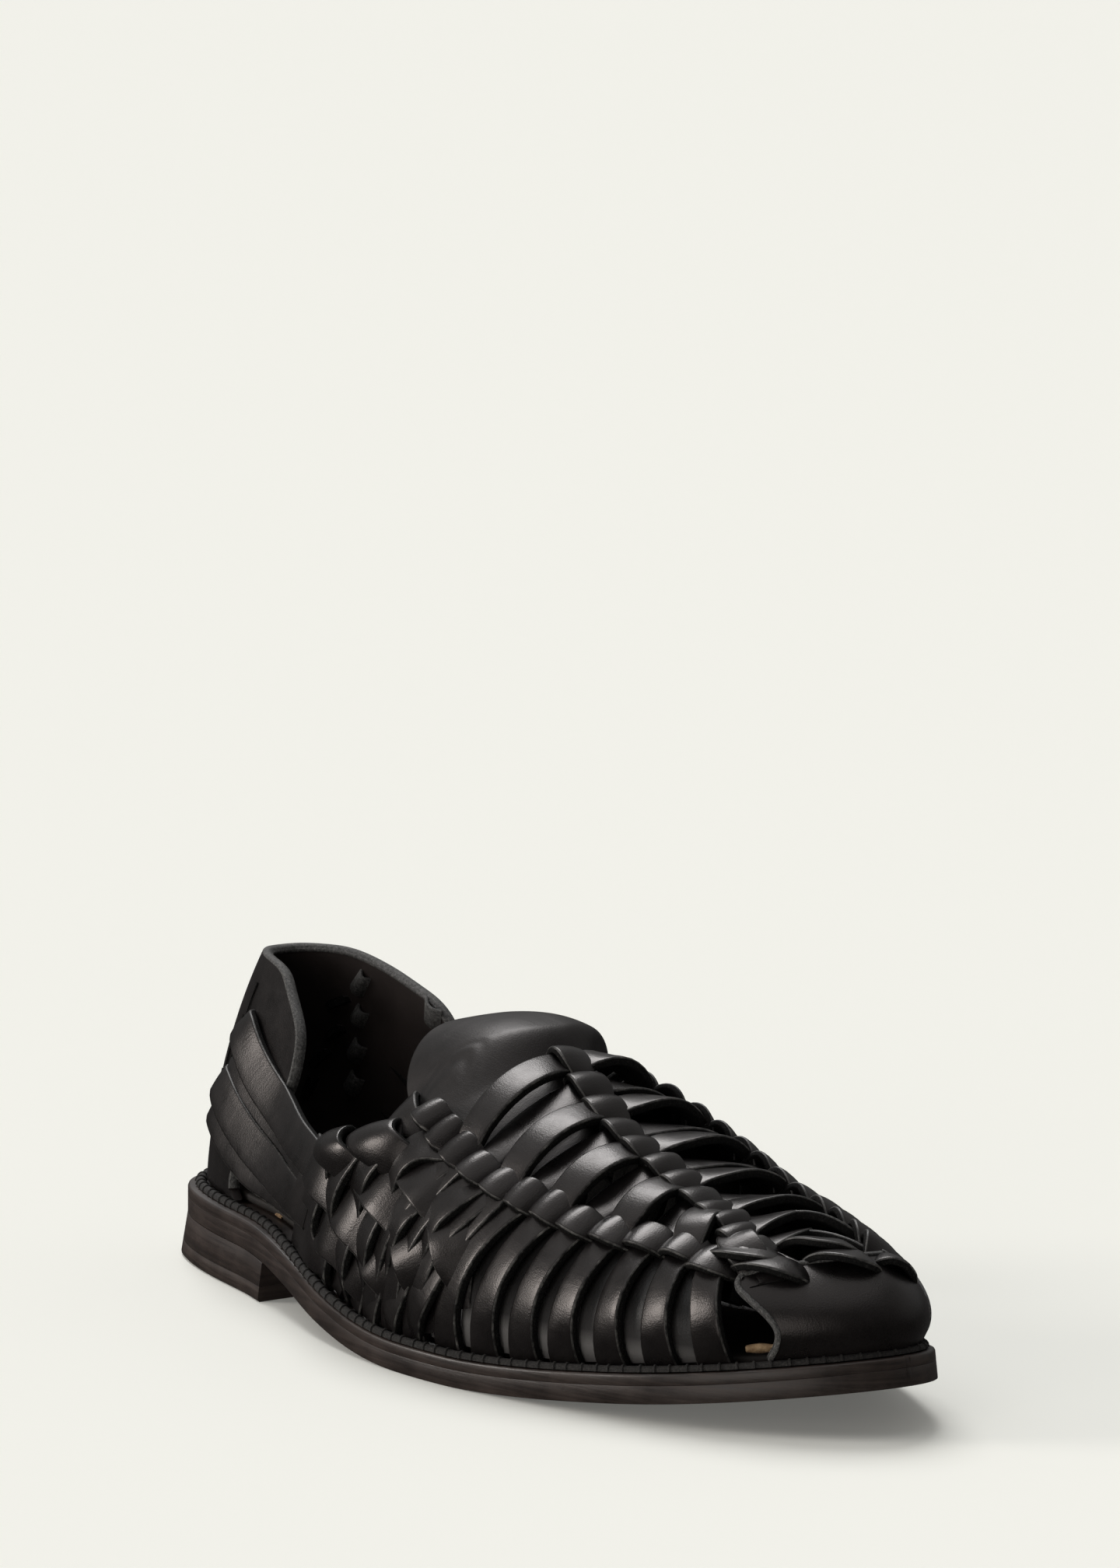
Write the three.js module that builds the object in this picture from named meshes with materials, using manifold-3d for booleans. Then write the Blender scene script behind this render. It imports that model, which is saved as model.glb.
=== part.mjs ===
// A right huarache sandal: woven leather straps on a last, over a stitched leather sole with a low stacked heel.
// Millimetres, +X to the toe, +Y to the medial side (the wearer's left), +Z up, standing on the floor at Z = 0.

import * as THREE from 'three';
import Module from 'manifold-3d';

const wasm = await Module();
wasm.setup();

// Driving dimensions
const soleLength = 300;
const ballWidth = 104;
const instepHeight = 88;
const heelHeight = 12;
const toeSpring = 13.5;
const topLiftThickness = 4.2;
const outsoleThickness = 4.6;
const midsoleThickness = 2.9;
const insoleThickness = 2.4;
const heelFlare = 1.6;
const seatGap = 0.3;
const weltHeight = 1.5;
const weltWidth = 2.8;
const leather = 2.0;
const fuse = 0.15;
const bandFootWidth = 10;
const bandRidgeWidth = 8;
const crossWidth = 9;
const lateralArch = 3.2;
const medialArch = 1.4;
const crossSag = 1.6;
const laceWidth = 9.5;
const laceArch = 2.2;
const latticeWidth = 9.5;
const backStrapWidth = 11;
const tongueThickness = 1.8;
const strapClearance = 1.5;
const counterHeight = 86;

// Shares of the sole length
const heelBreastShare = 0.25;
const heelEaseStart = 0.18;
const treadStart = 0.55;
const treadEnd = 0.62;
const springPower = 1.6;
const endRoundShare = 0.2;
const heelRoundPower = 2.3;
const ankleShare = 0.207;
const ankleFan = 0.38;
const fanEndShare = 1 / 3;
const toeFanShare = 0.783;
const toeFan = 0.45;

const soleThickness = outsoleThickness + seatGap + midsoleThickness;

// Plan of the sole: station and its centre line and half width, as shares of length and of ball width
const planTable = [
  { at: 0.0, centre: 0.01, half: 0.3 },
  { at: 0.1, centre: 0.018, half: 0.307 },
  { at: 0.2, centre: -0.008, half: 0.315 },
  { at: 0.3, centre: -0.065, half: 0.337 },
  { at: 0.4, centre: -0.112, half: 0.375 },
  { at: 0.5, centre: -0.106, half: 0.428 },
  { at: 0.6, centre: -0.058, half: 0.474 },
  { at: 0.7, centre: -0.004, half: 0.476 },
  { at: 0.8, centre: 0.028, half: 0.428 },
  { at: 0.9, centre: 0.05, half: 0.368 },
  { at: 1.0, centre: 0.105, half: 0.31 },
];

// Form of the last at each station: height of the crest as a share of the instep, its shift to the side and
// the feather inset of the sole as shares of ball width
const crestTable = [
  { at: 0.0, top: 1.341, shift: 0.019, inset: 0.072 },
  { at: 0.2, top: 1.341, shift: 0.019, inset: 0.072 },
  { at: 0.33, top: 1.205, shift: 0.01, inset: 0.067 },
  { at: 0.4, top: 1.114, shift: 0.019, inset: 0.063 },
  { at: 0.467, top: 1.0, shift: 0.029, inset: 0.063 },
  { at: 0.533, top: 0.898, shift: 0.038, inset: 0.063 },
  { at: 0.6, top: 0.795, shift: 0.048, inset: 0.063 },
  { at: 0.667, top: 0.705, shift: 0.058, inset: 0.063 },
  { at: 0.733, top: 0.62, shift: 0.067, inset: 0.067 },
  { at: 0.8, top: 0.557, shift: 0.087, inset: 0.072 },
  { at: 0.84, top: 0.528, shift: 0.096, inset: 0.077 },
  { at: 0.88, top: 0.506, shift: 0.106, inset: 0.082 },
  { at: 1.0, top: 0.5, shift: 0.115, inset: 0.096 },
];

// Its section at each station: roundness of the lateral and medial halves, and how far each side swells
const sectionTable = [
  { at: 0.0, latRound: 1.65, medRound: 1.65, latSwell: 0, medSwell: 0 },
  { at: 0.2, latRound: 1.65, medRound: 1.75, latSwell: -0.005, medSwell: 0.014 },
  { at: 0.33, latRound: 1.9, medRound: 1.9, latSwell: 0.029, medSwell: 0.019 },
  { at: 0.4, latRound: 1.95, medRound: 2.0, latSwell: 0.029, medSwell: 0.024 },
  { at: 0.467, latRound: 1.95, medRound: 2.2, latSwell: 0.029, medSwell: 0.029 },
  { at: 0.533, latRound: 2.0, medRound: 2.35, latSwell: 0.029, medSwell: 0.029 },
  { at: 0.6, latRound: 2.1, medRound: 2.5, latSwell: 0.029, medSwell: 0.029 },
  { at: 0.667, latRound: 2.2, medRound: 2.6, latSwell: 0.029, medSwell: 0.034 },
  { at: 0.733, latRound: 2.2, medRound: 2.6, latSwell: 0.034, medSwell: 0.038 },
  { at: 0.8, latRound: 2.3, medRound: 2.6, latSwell: 0.038, medSwell: 0.048 },
  { at: 0.84, latRound: 2.4, medRound: 2.6, latSwell: 0.043, medSwell: 0.058 },
  { at: 0.88, latRound: 2.5, medRound: 2.6, latSwell: 0.048, medSwell: 0.067 },
  { at: 1.0, latRound: 2.6, medRound: 2.6, latSwell: 0.068, medSwell: 0.068 },
];

// Cross straps, heel to toe: where each leaves the sole or the toe cap and at what height share, passes the
// side ridges and passes the crest, as shares of length, and whether it arches up or dips between the ridges
const crossTable = [
  { foot: 0.487, start: 0, ridge: 0.553, crest: 0.552, raised: true },
  { foot: 0.523, start: 0, ridge: 0.585, crest: 0.587, raised: false },
  { foot: 0.56, start: 0, ridge: 0.62, crest: 0.622, raised: true },
  { foot: 0.608, start: 0, ridge: 0.652, crest: 0.656, raised: false },
  { foot: 0.657, start: 0, ridge: 0.683, crest: 0.684, raised: true },
  { foot: 0.703, start: 0, ridge: 0.718, crest: 0.713, raised: false },
  { foot: 0.748, start: 0, ridge: 0.753, crest: 0.743, raised: true },
  { foot: 0.797, start: 0, ridge: 0.79, crest: 0.775, raised: false },
  { foot: 0.848, start: 0, ridge: 0.837, crest: 0.813, raised: true },
  { foot: 0.895, start: 0, ridge: 0.886, crest: 0.868, raised: false },
  { foot: 0.93, start: 0.42, ridge: 0.925, crest: 0.907, raised: true },
  { foot: 0.97, start: 0.5, ridge: 0.965, crest: 0.942, raised: false },
];

// Lattice straps that climb towards the toe: foot station, top station and top height share
const climbTable = [
  { foot: 0.353, top: 0.34, rise: 0.2 },
  { foot: 0.387, top: 0.385, rise: 0.3 },
  { foot: 0.42, top: 0.44, rise: 0.41 },
  { foot: 0.453, top: 0.515, rise: 0.53 },
];

// Lattice straps that fall towards the toe: back station and height share, front station and height share
const fallTable = [
  { back: 0.33, backRise: 0.1, front: 0.45, frontRise: 0.02 },
  { back: 0.328, backRise: 0.185, front: 0.5, frontRise: 0.05 },
  { back: 0.35, backRise: 0.26, front: 0.555, frontRise: 0.12 },
  { back: 0.385, backRise: 0.3, front: 0.59, frontRise: 0.24 },
  { back: 0.435, backRise: 0.405, front: 0.61, frontRise: 0.38 },
];

// Straps from the slits of the counter to the lattice: slit station and height share, then lattice ones
const backStrapTable = [
  { slit: 0.075, slitRise: 0.4, end: 0.355, endRise: 0.215 },
  { slit: 0.06, slitRise: 0.275, end: 0.345, endRise: 0.115 },
  { slit: 0.055, slitRise: 0.165, end: 0.37, endRise: 0.045 },
];

// The lengthwise laces: height share of the side ridges and of the centre ridge along the foot
const ridgeTable = [
  { at: 0.5, side: 0.537, centre: 0.97 },
  { at: 0.56, side: 0.512, centre: 0.95 },
  { at: 0.62, side: 0.504, centre: 0.918 },
  { at: 0.66, side: 0.508, centre: 0.895 },
  { at: 0.72, side: 0.53, centre: 0.888 },
  { at: 0.79, side: 0.57, centre: 0.855 },
  { at: 0.845, side: 0.567, centre: 0.825 },
  { at: 0.885, side: 0.521, centre: 0.79 },
  { at: 0.942, side: 0.5, centre: 0.646 },
];

// A smooth curve through one column of a table
function column(table, name, scale = 1) {
  const xs = table.map((row) => row.at);
  const ys = table.map((row) => row[name] * scale);
  const last = xs.length - 1;
  const rise = (a, b) => (ys[b] - ys[a]) / (xs[b] - xs[a]);
  const slopes = xs.map((x, i) => rise(Math.max(i - 1, 0), Math.min(i + 1, last)));
  return (share) => {
    const s = Math.min(Math.max(share, xs[0]), xs[last]);
    let i = 0;
    while (i < last - 1 && s >= xs[i + 1]) i += 1;
    const h = xs[i + 1] - xs[i];
    const t = (s - xs[i]) / h;
    const a = (2 * t - 3) * t * t + 1;
    const b = ((t - 2) * t + 1) * t * h;
    const c = (3 - 2 * t) * t * t;
    const d = (t - 1) * t * t * h;
    return a * ys[i] + b * slopes[i] + c * ys[i + 1] + d * slopes[i + 1];
  };
}

const clamp = THREE.MathUtils.clamp;
const centreLine = column(planTable, 'centre', ballWidth);
const halfWidth = column(planTable, 'half', ballWidth);
const crestTop = column(crestTable, 'top', instepHeight);
const crestShift = column(crestTable, 'shift', ballWidth);
const inset = column(crestTable, 'inset', ballWidth);
const rounds = { [-1]: column(sectionTable, 'latRound'), [1]: column(sectionTable, 'medRound') };
const swells = {
  [-1]: column(sectionTable, 'latSwell', ballWidth),
  [1]: column(sectionTable, 'medSwell', ballWidth),
};
const sideRidge = column(ridgeTable, 'side');
const centreRidge = column(ridgeTable, 'centre');

// The turn runs 0 at the heel to 1 at the toe, with its steps close together at both ends
const turnToShare = (turn) => (1 - Math.cos(Math.PI * turn)) / 2;
const shareToTurn = (share) => Math.acos(1 - 2 * clamp(share, 0, 1)) / Math.PI;

// How far the plan is open at a station: 0 at both ends, 1 along the middle
function endRound(share) {
  const heel = clamp(1 - share / endRoundShare, 0, 1);
  const toe = clamp((share - 1 + endRoundShare) / endRoundShare, 0, 1);
  const heelPart = (1 - heel ** heelRoundPower) ** (1 / heelRoundPower);
  return heelPart * Math.sqrt(1 - toe * toe);
}

function outline(turn, side) {
  const share = turnToShare(turn);
  return [soleLength * share, centreLine(share) + side * halfWidth(share) * endRound(share)];
}

// A point of the outline moved inwards by a distance
const outlineStep = 1e-4;

function insetOutline(turn, side, distance) {
  const [x0, y0] = outline(Math.max(turn - outlineStep, 0), side);
  const [x1, y1] = outline(Math.min(turn + outlineStep, 1), side);
  const long = Math.hypot(x1 - x0, y1 - y0);
  const [x, y] = outline(turn, side);
  return [x + (side * (y1 - y0) / long) * distance, y - (side * (x1 - x0) / long) * distance];
}

const ease = (t) => t * t * (3 - 2 * t);

// Height of the underside of the sole, without the heel block
function undersideHeight(x) {
  const share = x / soleLength;
  const drop = ease(clamp((share - heelEaseStart) / (treadStart - heelEaseStart), 0, 1));
  const toe = clamp((share - treadEnd) / (1 - treadEnd), 0, 2) ** springPower;
  return heelHeight * (1 - drop) + toeSpring * toe;
}

const undersideSlope = (x) => undersideHeight(x + 0.5) - undersideHeight(x - 0.5);

// A point at a height above the underside, square to its slope
const aboveSole = (x, y, height) => new THREE.Vector3(x - undersideSlope(x) * height, y, undersideHeight(x) + height);

// How far a side swells out at a share of its height
const swellPower = 0.75;
const swellAt = (share, side, up) => swells[side](share) * Math.sin(Math.PI * up ** swellPower);

// Plan station of the crest that a wall leans to: a fan round the ankle and another round the toe
function crestShare(share) {
  if (share < fanEndShare) return ankleShare + ankleFan * share;
  if (share > toeFanShare) return toeFanShare + (share - toeFanShare) * toeFan;
  return share;
}

// The last: turn along the foot, rise 0 at the sole to 1 at the crest, side -1 lateral and 1 medial
function lastPoint(turn, rise, side) {
  const share = turnToShare(turn);
  const [fx, fy] = insetOutline(turn, side, inset(share));
  const foot = aboveSole(fx, fy, soleThickness + seatGap);
  const crest = crestShare(share);
  const topX = crest * soleLength;
  const topY = crestShift(crest);
  const power = 2 / rounds[side](share);
  const angle = (clamp(rise, 0, 1) * Math.PI) / 2;
  const out = Math.cos(angle) ** power;
  const up = Math.sin(angle) ** power;
  const dx = topX - foot.x;
  const dy = topY - foot.y;
  const swell = swellAt(share, side, up) / Math.hypot(dx, dy);
  const go = 1 - out - swell;
  return new THREE.Vector3(foot.x + dx * go, foot.y + dy * go, foot.z + (crestTop(crest) - foot.z) * up);
}

// Across runs -1 at the lateral sole edge, 0 at the crest, 1 at the medial sole edge
function formPoint(turn, across) {
  const side = across < 0 ? -1 : 1;
  return lastPoint(turn, 1 - Math.abs(across), side);
}

const formStep = 4e-3;

function formNormal(turn, across) {
  const along = formPoint(Math.min(turn + formStep, 1), across);
  along.sub(formPoint(Math.max(turn - formStep, 0), across));
  const over = formPoint(turn, Math.min(across + formStep, 1));
  over.sub(formPoint(turn, Math.max(across - formStep, -1)));
  return along.cross(over).normalize();
}

// Closed solids from rings of points: every ring has the same count, and the ends are capped by fans
function solidFromRings(rings, closed = false) {
  const count = rings[0].length;
  const points = rings.flat();
  const faces = [];
  const spans = closed ? rings.length : rings.length - 1;
  for (let i = 0; i < spans; i += 1) {
    const a = i * count;
    const b = ((i + 1) % rings.length) * count;
    for (let j = 0; j < count; j += 1) {
      const k = (j + 1) % count;
      faces.push([a + j, a + k, b + k], [a + j, b + k, b + j]);
    }
  }
  if (!closed) {
    const end = (rings.length - 1) * count;
    for (let j = 1; j < count - 1; j += 1) {
      faces.push([0, j + 1, j], [end, end + j, end + j + 1]);
    }
  }
  return solidFromFaces(points, faces);
}

function solidFromFaces(points, faces) {
  let volume = 0;
  for (const [a, b, c] of faces) {
    volume += points[a].dot(new THREE.Vector3().crossVectors(points[b], points[c]));
  }
  const order = volume < 0 ? [0, 2, 1] : [0, 1, 2];
  const vertProperties = new Float32Array(points.flatMap((p) => [p.x, p.y, p.z]));
  const triVerts = new Uint32Array(faces.flatMap((f) => order.map((i) => f[i])));
  const mesh = new wasm.Mesh({ numProp: 3, vertProperties, triVerts });
  mesh.merge();
  return new wasm.Manifold(mesh);
}

function union(solids) {
  return wasm.Manifold.union(solids);
}

// Corners that only touch, where two straps meet edge to edge, are drawn apart by a hair
const touchDistance = 1e-3;
const hair = 0.01;

function drawApart(position, normal) {
  const sharing = new Map();
  const point = new THREE.Vector3();
  for (let i = 0; i < position.count; i += 1) {
    point.fromBufferAttribute(position, i);
    const key = point.toArray().map((v) => Math.round(v / touchDistance)).join();
    sharing.set(key, [...(sharing.get(key) ?? []), i]);
  }
  const touching = [...sharing.values()].filter((group) => group.length > 1).flat();
  const outward = new THREE.Vector3();
  for (const i of touching) {
    outward.fromBufferAttribute(normal, i);
    point.fromBufferAttribute(position, i).addScaledVector(outward, -hair);
    position.setXYZ(i, point.x, point.y, point.z);
  }
}

function geometryOf(solid) {
  const mesh = solid.getMesh();
  const geometry = new THREE.BufferGeometry();
  geometry.setAttribute('position', new THREE.BufferAttribute(new Float32Array(mesh.vertProperties), 3));
  geometry.setIndex(new THREE.BufferAttribute(new Uint32Array(mesh.triVerts), 1));
  geometry.computeVertexNormals();
  drawApart(geometry.attributes.position, geometry.attributes.normal);
  geometry.computeVertexNormals();
  return geometry;
}

// A layer between two heights above the underside, inside the outline by an inset at each station
const solePlanSteps = 38;

function soleLayer(low, high, insetAt) {
  const rings = [];
  for (let i = 1; i < solePlanSteps; i += 1) {
    const turn = i / solePlanSteps;
    const edge = insetAt(turnToShare(turn));
    const [lx, ly] = insetOutline(turn, -1, edge);
    const [mx, my] = insetOutline(turn, 1, edge);
    rings.push([aboveSole(lx, ly, low), aboveSole(lx, ly, high), aboveSole(mx, my, high), aboveSole(mx, my, low)]);
  }
  return solidFromRings(rings);
}

// One layer of the heel, between two heights above the floor, ending at the breast
const heelSteps = 14;

function heelLayer(low, high) {
  const breastTurn = shareToTurn(heelBreastShare);
  const rings = [];
  for (let i = 1; i <= heelSteps; i += 1) {
    const turn = (breastTurn * i) / heelSteps;
    const [lx, ly] = outline(turn, -1);
    const [mx, my] = outline(turn, 1);
    const middle = centreLine(turnToShare(turn));
    const point = (x, y, height) => {
      const z = height === undefined ? undersideHeight(x) - seatGap : height;
      const spread = heelFlare * (1 - z / heelHeight);
      const back = spread * (1 - i / heelSteps);
      return new THREE.Vector3(x - back, y + Math.sign(y - middle) * spread, z);
    };
    rings.push([point(lx, ly, low), point(lx, ly, high), point(mx, my, high), point(mx, my, low)]);
  }
  return solidFromRings(rings);
}

// How far the wall swells out over the welt at a station
function reachOverWelt(share, side) {
  const wallHeight = crestTop(crestShare(share)) - undersideHeight(share * soleLength) - soleThickness;
  return Math.max(swellAt(share, side, weltHeight / wallHeight), 0);
}

// The stitched welt: a low half round bead on the midsole all round the upper
const weltSteps = 34;
const weltSection = [
  { across: 0, up: 0 },
  { across: 0.15, up: 0.8 },
  { across: 0.5, up: 1 },
  { across: 0.85, up: 0.8 },
  { across: 1, up: 0 },
];

function weltSolid() {
  const rings = [];
  const ringAt = (turn, side) => {
    const share = turnToShare(turn);
    const inner = inset(share) - leather - fuse - reachOverWelt(share, side) - seatGap;
    rings.push(weltSection.map(({ across, up }) => {
      const [x, y] = insetOutline(turn, side, inner - across * weltWidth);
      return aboveSole(x, y, soleThickness + seatGap + up * weltHeight);
    }));
  };
  for (let i = 1; i <= weltSteps; i += 1) ringAt(i / weltSteps, -1);
  for (let i = weltSteps - 1; i >= 0; i -= 1) ringAt(i / weltSteps, 1);
  return solidFromRings(rings, true);
}

// A strap laid on the last: path stops of turn, across, lift and width, from its start to its end
function strap(stops, thickness = leather) {
  const centres = stops.map(({ turn, across }) => formPoint(turn, across));
  const rings = stops.map(({ turn, across, lift, width }, i) => {
    const before = centres[Math.max(i - 1, 0)];
    const after = centres[Math.min(i + 1, centres.length - 1)];
    const normal = formNormal(turn, across);
    const along = after.clone().sub(before).normalize();
    const wide = new THREE.Vector3().crossVectors(normal, along).normalize().multiplyScalar(width / 2);
    const low = centres[i].clone().addScaledVector(normal, lift);
    const high = centres[i].clone().addScaledVector(normal, lift + thickness);
    return [low.clone().sub(wide), low.clone().add(wide), high.clone().add(wide), high.clone().sub(wide)];
  });
  return solidFromRings(rings);
}

// Straps start a little above the sole along the last
const footRise = 0.012;

const mix = (a, b, t) => a + (b - a) * t;

// One cross strap from the lateral sole edge over the crest to the medial sole edge
const footSteps = 6;
const spanSteps = 5;

function crossStrap(row) {
  const ridgeRise = sideRidge(row.ridge);
  const centre = -(1 - centreRidge(row.crest));
  const footStops = (side) => {
    const stops = [];
    for (let i = 0; i <= footSteps; i += 1) {
      const t = i / footSteps;
      const turn = shareToTurn(mix(row.foot, row.ridge, ease(t)));
      const across = side * (1 - mix(Math.max(row.start, footRise), ridgeRise, t));
      stops.push({ turn, across, lift: 0, width: mix(bandFootWidth, bandRidgeWidth, t) });
    }
    return stops;
  };
  const spanStops = (side) => {
    const stops = [];
    for (let i = 1; i <= spanSteps; i += 1) {
      const t = i / spanSteps;
      const swing = Math.sin(Math.PI * t);
      const turn = shareToTurn(mix(row.ridge, row.crest, ease(t)));
      const arch = side < 0 ? lateralArch : medialArch;
      const lift = (row.raised ? arch : -crossSag) * swing;
      const across = mix(side * (1 - ridgeRise), centre, t);
      stops.push({ turn, across, lift, width: mix(bandRidgeWidth, crossWidth, swing) });
    }
    return stops;
  };
  const lateral = [...footStops(-1), ...spanStops(-1)];
  const medial = [...footStops(1), ...spanStops(1).slice(0, -1)];
  return strap([...lateral, ...medial.reverse()]);
}

// A lengthwise lace: it arches over each cross strap and dips between them
const laceRiseAt = { side: sideRidge, centre: centreRidge };

function lace(kind, side) {
  const column = kind === 'side' ? 'ridge' : 'crest';
  const stations = crossTable.map((row) => row[column]);
  const first = stations[0] - (stations[1] - stations[0]) / 2;
  const finish = stations.at(-1) + (stations.at(-1) - stations.at(-2)) / 2;
  const stops = [];
  const add = (share, lift) => {
    const across = side * (1 - laceRiseAt[kind](share));
    stops.push({ turn: shareToTurn(share), across, lift, width: laceWidth });
  };
  stations.forEach((share, i) => {
    add(i === 0 ? first : (share + stations[i - 1]) / 2, -fuse);
    add(share, laceArch - fuse);
  });
  add(finish, -fuse);
  return strap(stops);
}

// The strip under each lace that the cross straps rest on
const ridgeBaseSteps = 12;
const ridgeBaseSpare = 0.02;

function ridgeBase(kind, side) {
  const column = kind === 'side' ? 'ridge' : 'crest';
  const first = crossTable[0][column] - ridgeBaseSpare;
  const finish = crossTable.at(-1)[column] + ridgeBaseSpare;
  const stops = [];
  for (let i = 0; i <= ridgeBaseSteps; i += 1) {
    const share = mix(first, finish, i / ridgeBaseSteps);
    const across = side * (1 - laceRiseAt[kind](share));
    stops.push({ turn: shareToTurn(share), across, lift: -leather + fuse, width: laceWidth });
  }
  return strap(stops);
}

// Lattice of the quarters
const latticeSteps = 5;

function climbStrap(row, side) {
  const stops = [];
  for (let i = 0; i <= latticeSteps; i += 1) {
    const t = i / latticeSteps;
    const across = side * (1 - mix(footRise, row.rise, t));
    stops.push({ turn: shareToTurn(mix(row.foot, row.top, ease(t))), across, lift: 0, width: latticeWidth });
  }
  return strap(stops);
}

function fallStrap(row, side) {
  const stops = [];
  for (let i = 0; i <= latticeSteps; i += 1) {
    const t = i / latticeSteps;
    const across = side * (1 - mix(row.backRise, Math.max(row.frontRise, footRise), t));
    const turn = shareToTurn(mix(row.back, row.front, t));
    stops.push({ turn, across, lift: -leather + fuse, width: latticeWidth });
  }
  return strap(stops);
}

// The strip that closes the quarter along the topline, from the lattice to the first side ridge
function toplineStrap(side) {
  const rows = climbTable.map((row) => ({ share: row.top, rise: row.rise }));
  rows.push({ share: crossTable[0].ridge, rise: sideRidge(crossTable[0].ridge) });
  const stops = rows.map(({ share, rise }) => {
    const across = side * (1 - rise);
    return { turn: shareToTurn(share), across, lift: -leather + fuse, width: latticeWidth };
  });
  return strap(stops);
}

// Straps from the counter's slits to the lattice
const backStrapSteps = 7;

function backStrap(row, side) {
  const stops = [];
  for (let i = 0; i <= backStrapSteps; i += 1) {
    const t = i / backStrapSteps;
    const lift = mix(leather - fuse, fuse, ease(t));
    const across = side * (1 - mix(row.slitRise, row.endRise, t));
    stops.push({ turn: shareToTurn(mix(row.slit, row.end, t)), across, lift, width: backStrapWidth });
  }
  return strap(stops);
}

const formSpot = (turn, across) => ({ point: formPoint(turn, across), normal: formNormal(turn, across) });

// A curved sheet between two lifts off a surface: a grid of points with their normals
function sheet(grid, lowLift, highLift) {
  const rows = grid.length;
  const cols = grid[0].length;
  const place = ({ point, normal }, lift) => point.clone().addScaledVector(normal, lift);
  const layers = [lowLift, highLift].map((lift) => grid.map((row) => row.map((spot) => place(spot, lift))));
  const points = layers.flat(2);
  const at = (layer, i, j) => layer * rows * cols + i * cols + j;
  const faces = [];
  for (let i = 0; i < rows - 1; i += 1) {
    for (let j = 0; j < cols - 1; j += 1) {
      for (const layer of [0, 1]) {
        const quad = [at(layer, i, j), at(layer, i + 1, j), at(layer, i + 1, j + 1), at(layer, i, j + 1)];
        if (layer === 1) quad.reverse();
        faces.push([quad[0], quad[1], quad[2]], [quad[0], quad[2], quad[3]]);
      }
    }
  }
  const rim = [];
  for (let j = 0; j < cols - 1; j += 1) rim.push([0, j]);
  for (let i = 0; i < rows - 1; i += 1) rim.push([i, cols - 1]);
  for (let j = cols - 1; j > 0; j -= 1) rim.push([rows - 1, j]);
  for (let i = rows - 1; i > 0; i -= 1) rim.push([i, 0]);
  rim.forEach(([i, j], k) => {
    const [ni, nj] = rim[(k + 1) % rim.length];
    faces.push([at(0, i, j), at(0, ni, nj), at(1, ni, nj)], [at(0, i, j), at(1, ni, nj), at(1, i, j)]);
  });
  return solidFromFaces(points, faces);
}

// The heel counter: lateral wing, round the back, medial wing, as columns of the sheet
const counterBottomShare = 0.125;
const wingShare = { [-1]: 0.17, [1]: 0.265 };
const wingFall = { [-1]: 0.14, [1]: 0.07 };
const wingPower = 4;
const counterCols = 9;
const counterRows = 7;

// Rise on the last of a height above the floor, found by halving
const halvings = 24;

function riseOfHeight(turn, side, height) {
  let low = 0;
  let high = 1;
  for (let i = 0; i < halvings; i += 1) {
    const middle = (low + high) / 2;
    const short = lastPoint(turn, middle, side).z < height;
    low = short ? middle : low;
    high = short ? high : middle;
  }
  return (low + high) / 2;
}

function counterSheet() {
  const grid = [];
  const addColumn = (side, t) => {
    const column = [];
    const tallness = counterHeight * (1 - wingFall[side] * t ** wingPower);
    for (let j = 0; j <= counterRows; j += 1) {
      const up = j / counterRows;
      const share = mix(counterBottomShare, wingShare[side], ease(up));
      const turn = shareToTurn(share) * t;
      const top = riseOfHeight(turn, side, tallness);
      column.push(formSpot(turn, side * (1 - mix(footRise, top, up))));
    }
    grid.push(column);
  };
  for (let i = counterCols; i > 0; i -= 1) addColumn(-1, i / counterCols);
  addColumn(1, 0);
  for (let i = 1; i <= counterCols; i += 1) addColumn(1, i / counterCols);
  return sheet(grid, 0, leather);
}

// The toe cap: from its lateral edge round the toe to its medial edge
const capFootShare = 0.93;
const capTopShare = 0.9;
const capSideRise = 0.47;
const capTipRise = 0.82;
const capCols = 9;
const capRows = 6;

function toeCapSheet() {
  const grid = [];
  const addColumn = (side, t) => {
    const column = [];
    for (let j = 0; j <= capRows; j += 1) {
      const up = j / capRows;
      const turn = mix(1, shareToTurn(mix(capFootShare, capTopShare, ease(up))), t);
      const top = mix(capTipRise, capSideRise, Math.sin((t * Math.PI) / 2));
      column.push(formSpot(turn, side * (1 - mix(footRise, top, up))));
    }
    grid.push(column);
  };
  for (let i = capCols; i > 0; i -= 1) addColumn(-1, i / capCols);
  addColumn(1, 0);
  for (let i = 1; i <= capCols; i += 1) addColumn(1, i / capCols);
  return sheet(grid, 0, leather);
}

// One body without slivers: the tiny pockets that crossing straps seal between them are filled
const joinTolerance = 0.12;

function tidied(solid) {
  const bodies = solid.asOriginal().simplify(joinTolerance).decompose();
  return union(bodies.filter((body) => body.volume() > 0));
}

// What stands above the sole: a strap that reaches lower is cut off level with it
const trimSpare = 3;
const trimDepth = 4;

function cutAtSole(solid) {
  const top = soleThickness + seatGap;
  return solid.subtract(soleLayer(top - trimDepth, top, () => -trimSpare));
}

function upperSolid() {
  const pieces = [counterSheet(), toeCapSheet()];
  crossTable.forEach((row) => pieces.push(crossStrap(row)));
  pieces.push(lace('centre', -1), ridgeBase('centre', -1));
  for (const side of [-1, 1]) {
    pieces.push(lace('side', side), ridgeBase('side', side), toplineStrap(side));
    climbTable.forEach((row) => pieces.push(climbStrap(row, side)));
    fallTable.forEach((row) => pieces.push(fallStrap(row, side)));
    backStrapTable.forEach((row) => pieces.push(backStrap(row, side)));
  }
  return tidied(cutAtSole(tidied(union(pieces))));
}

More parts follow.
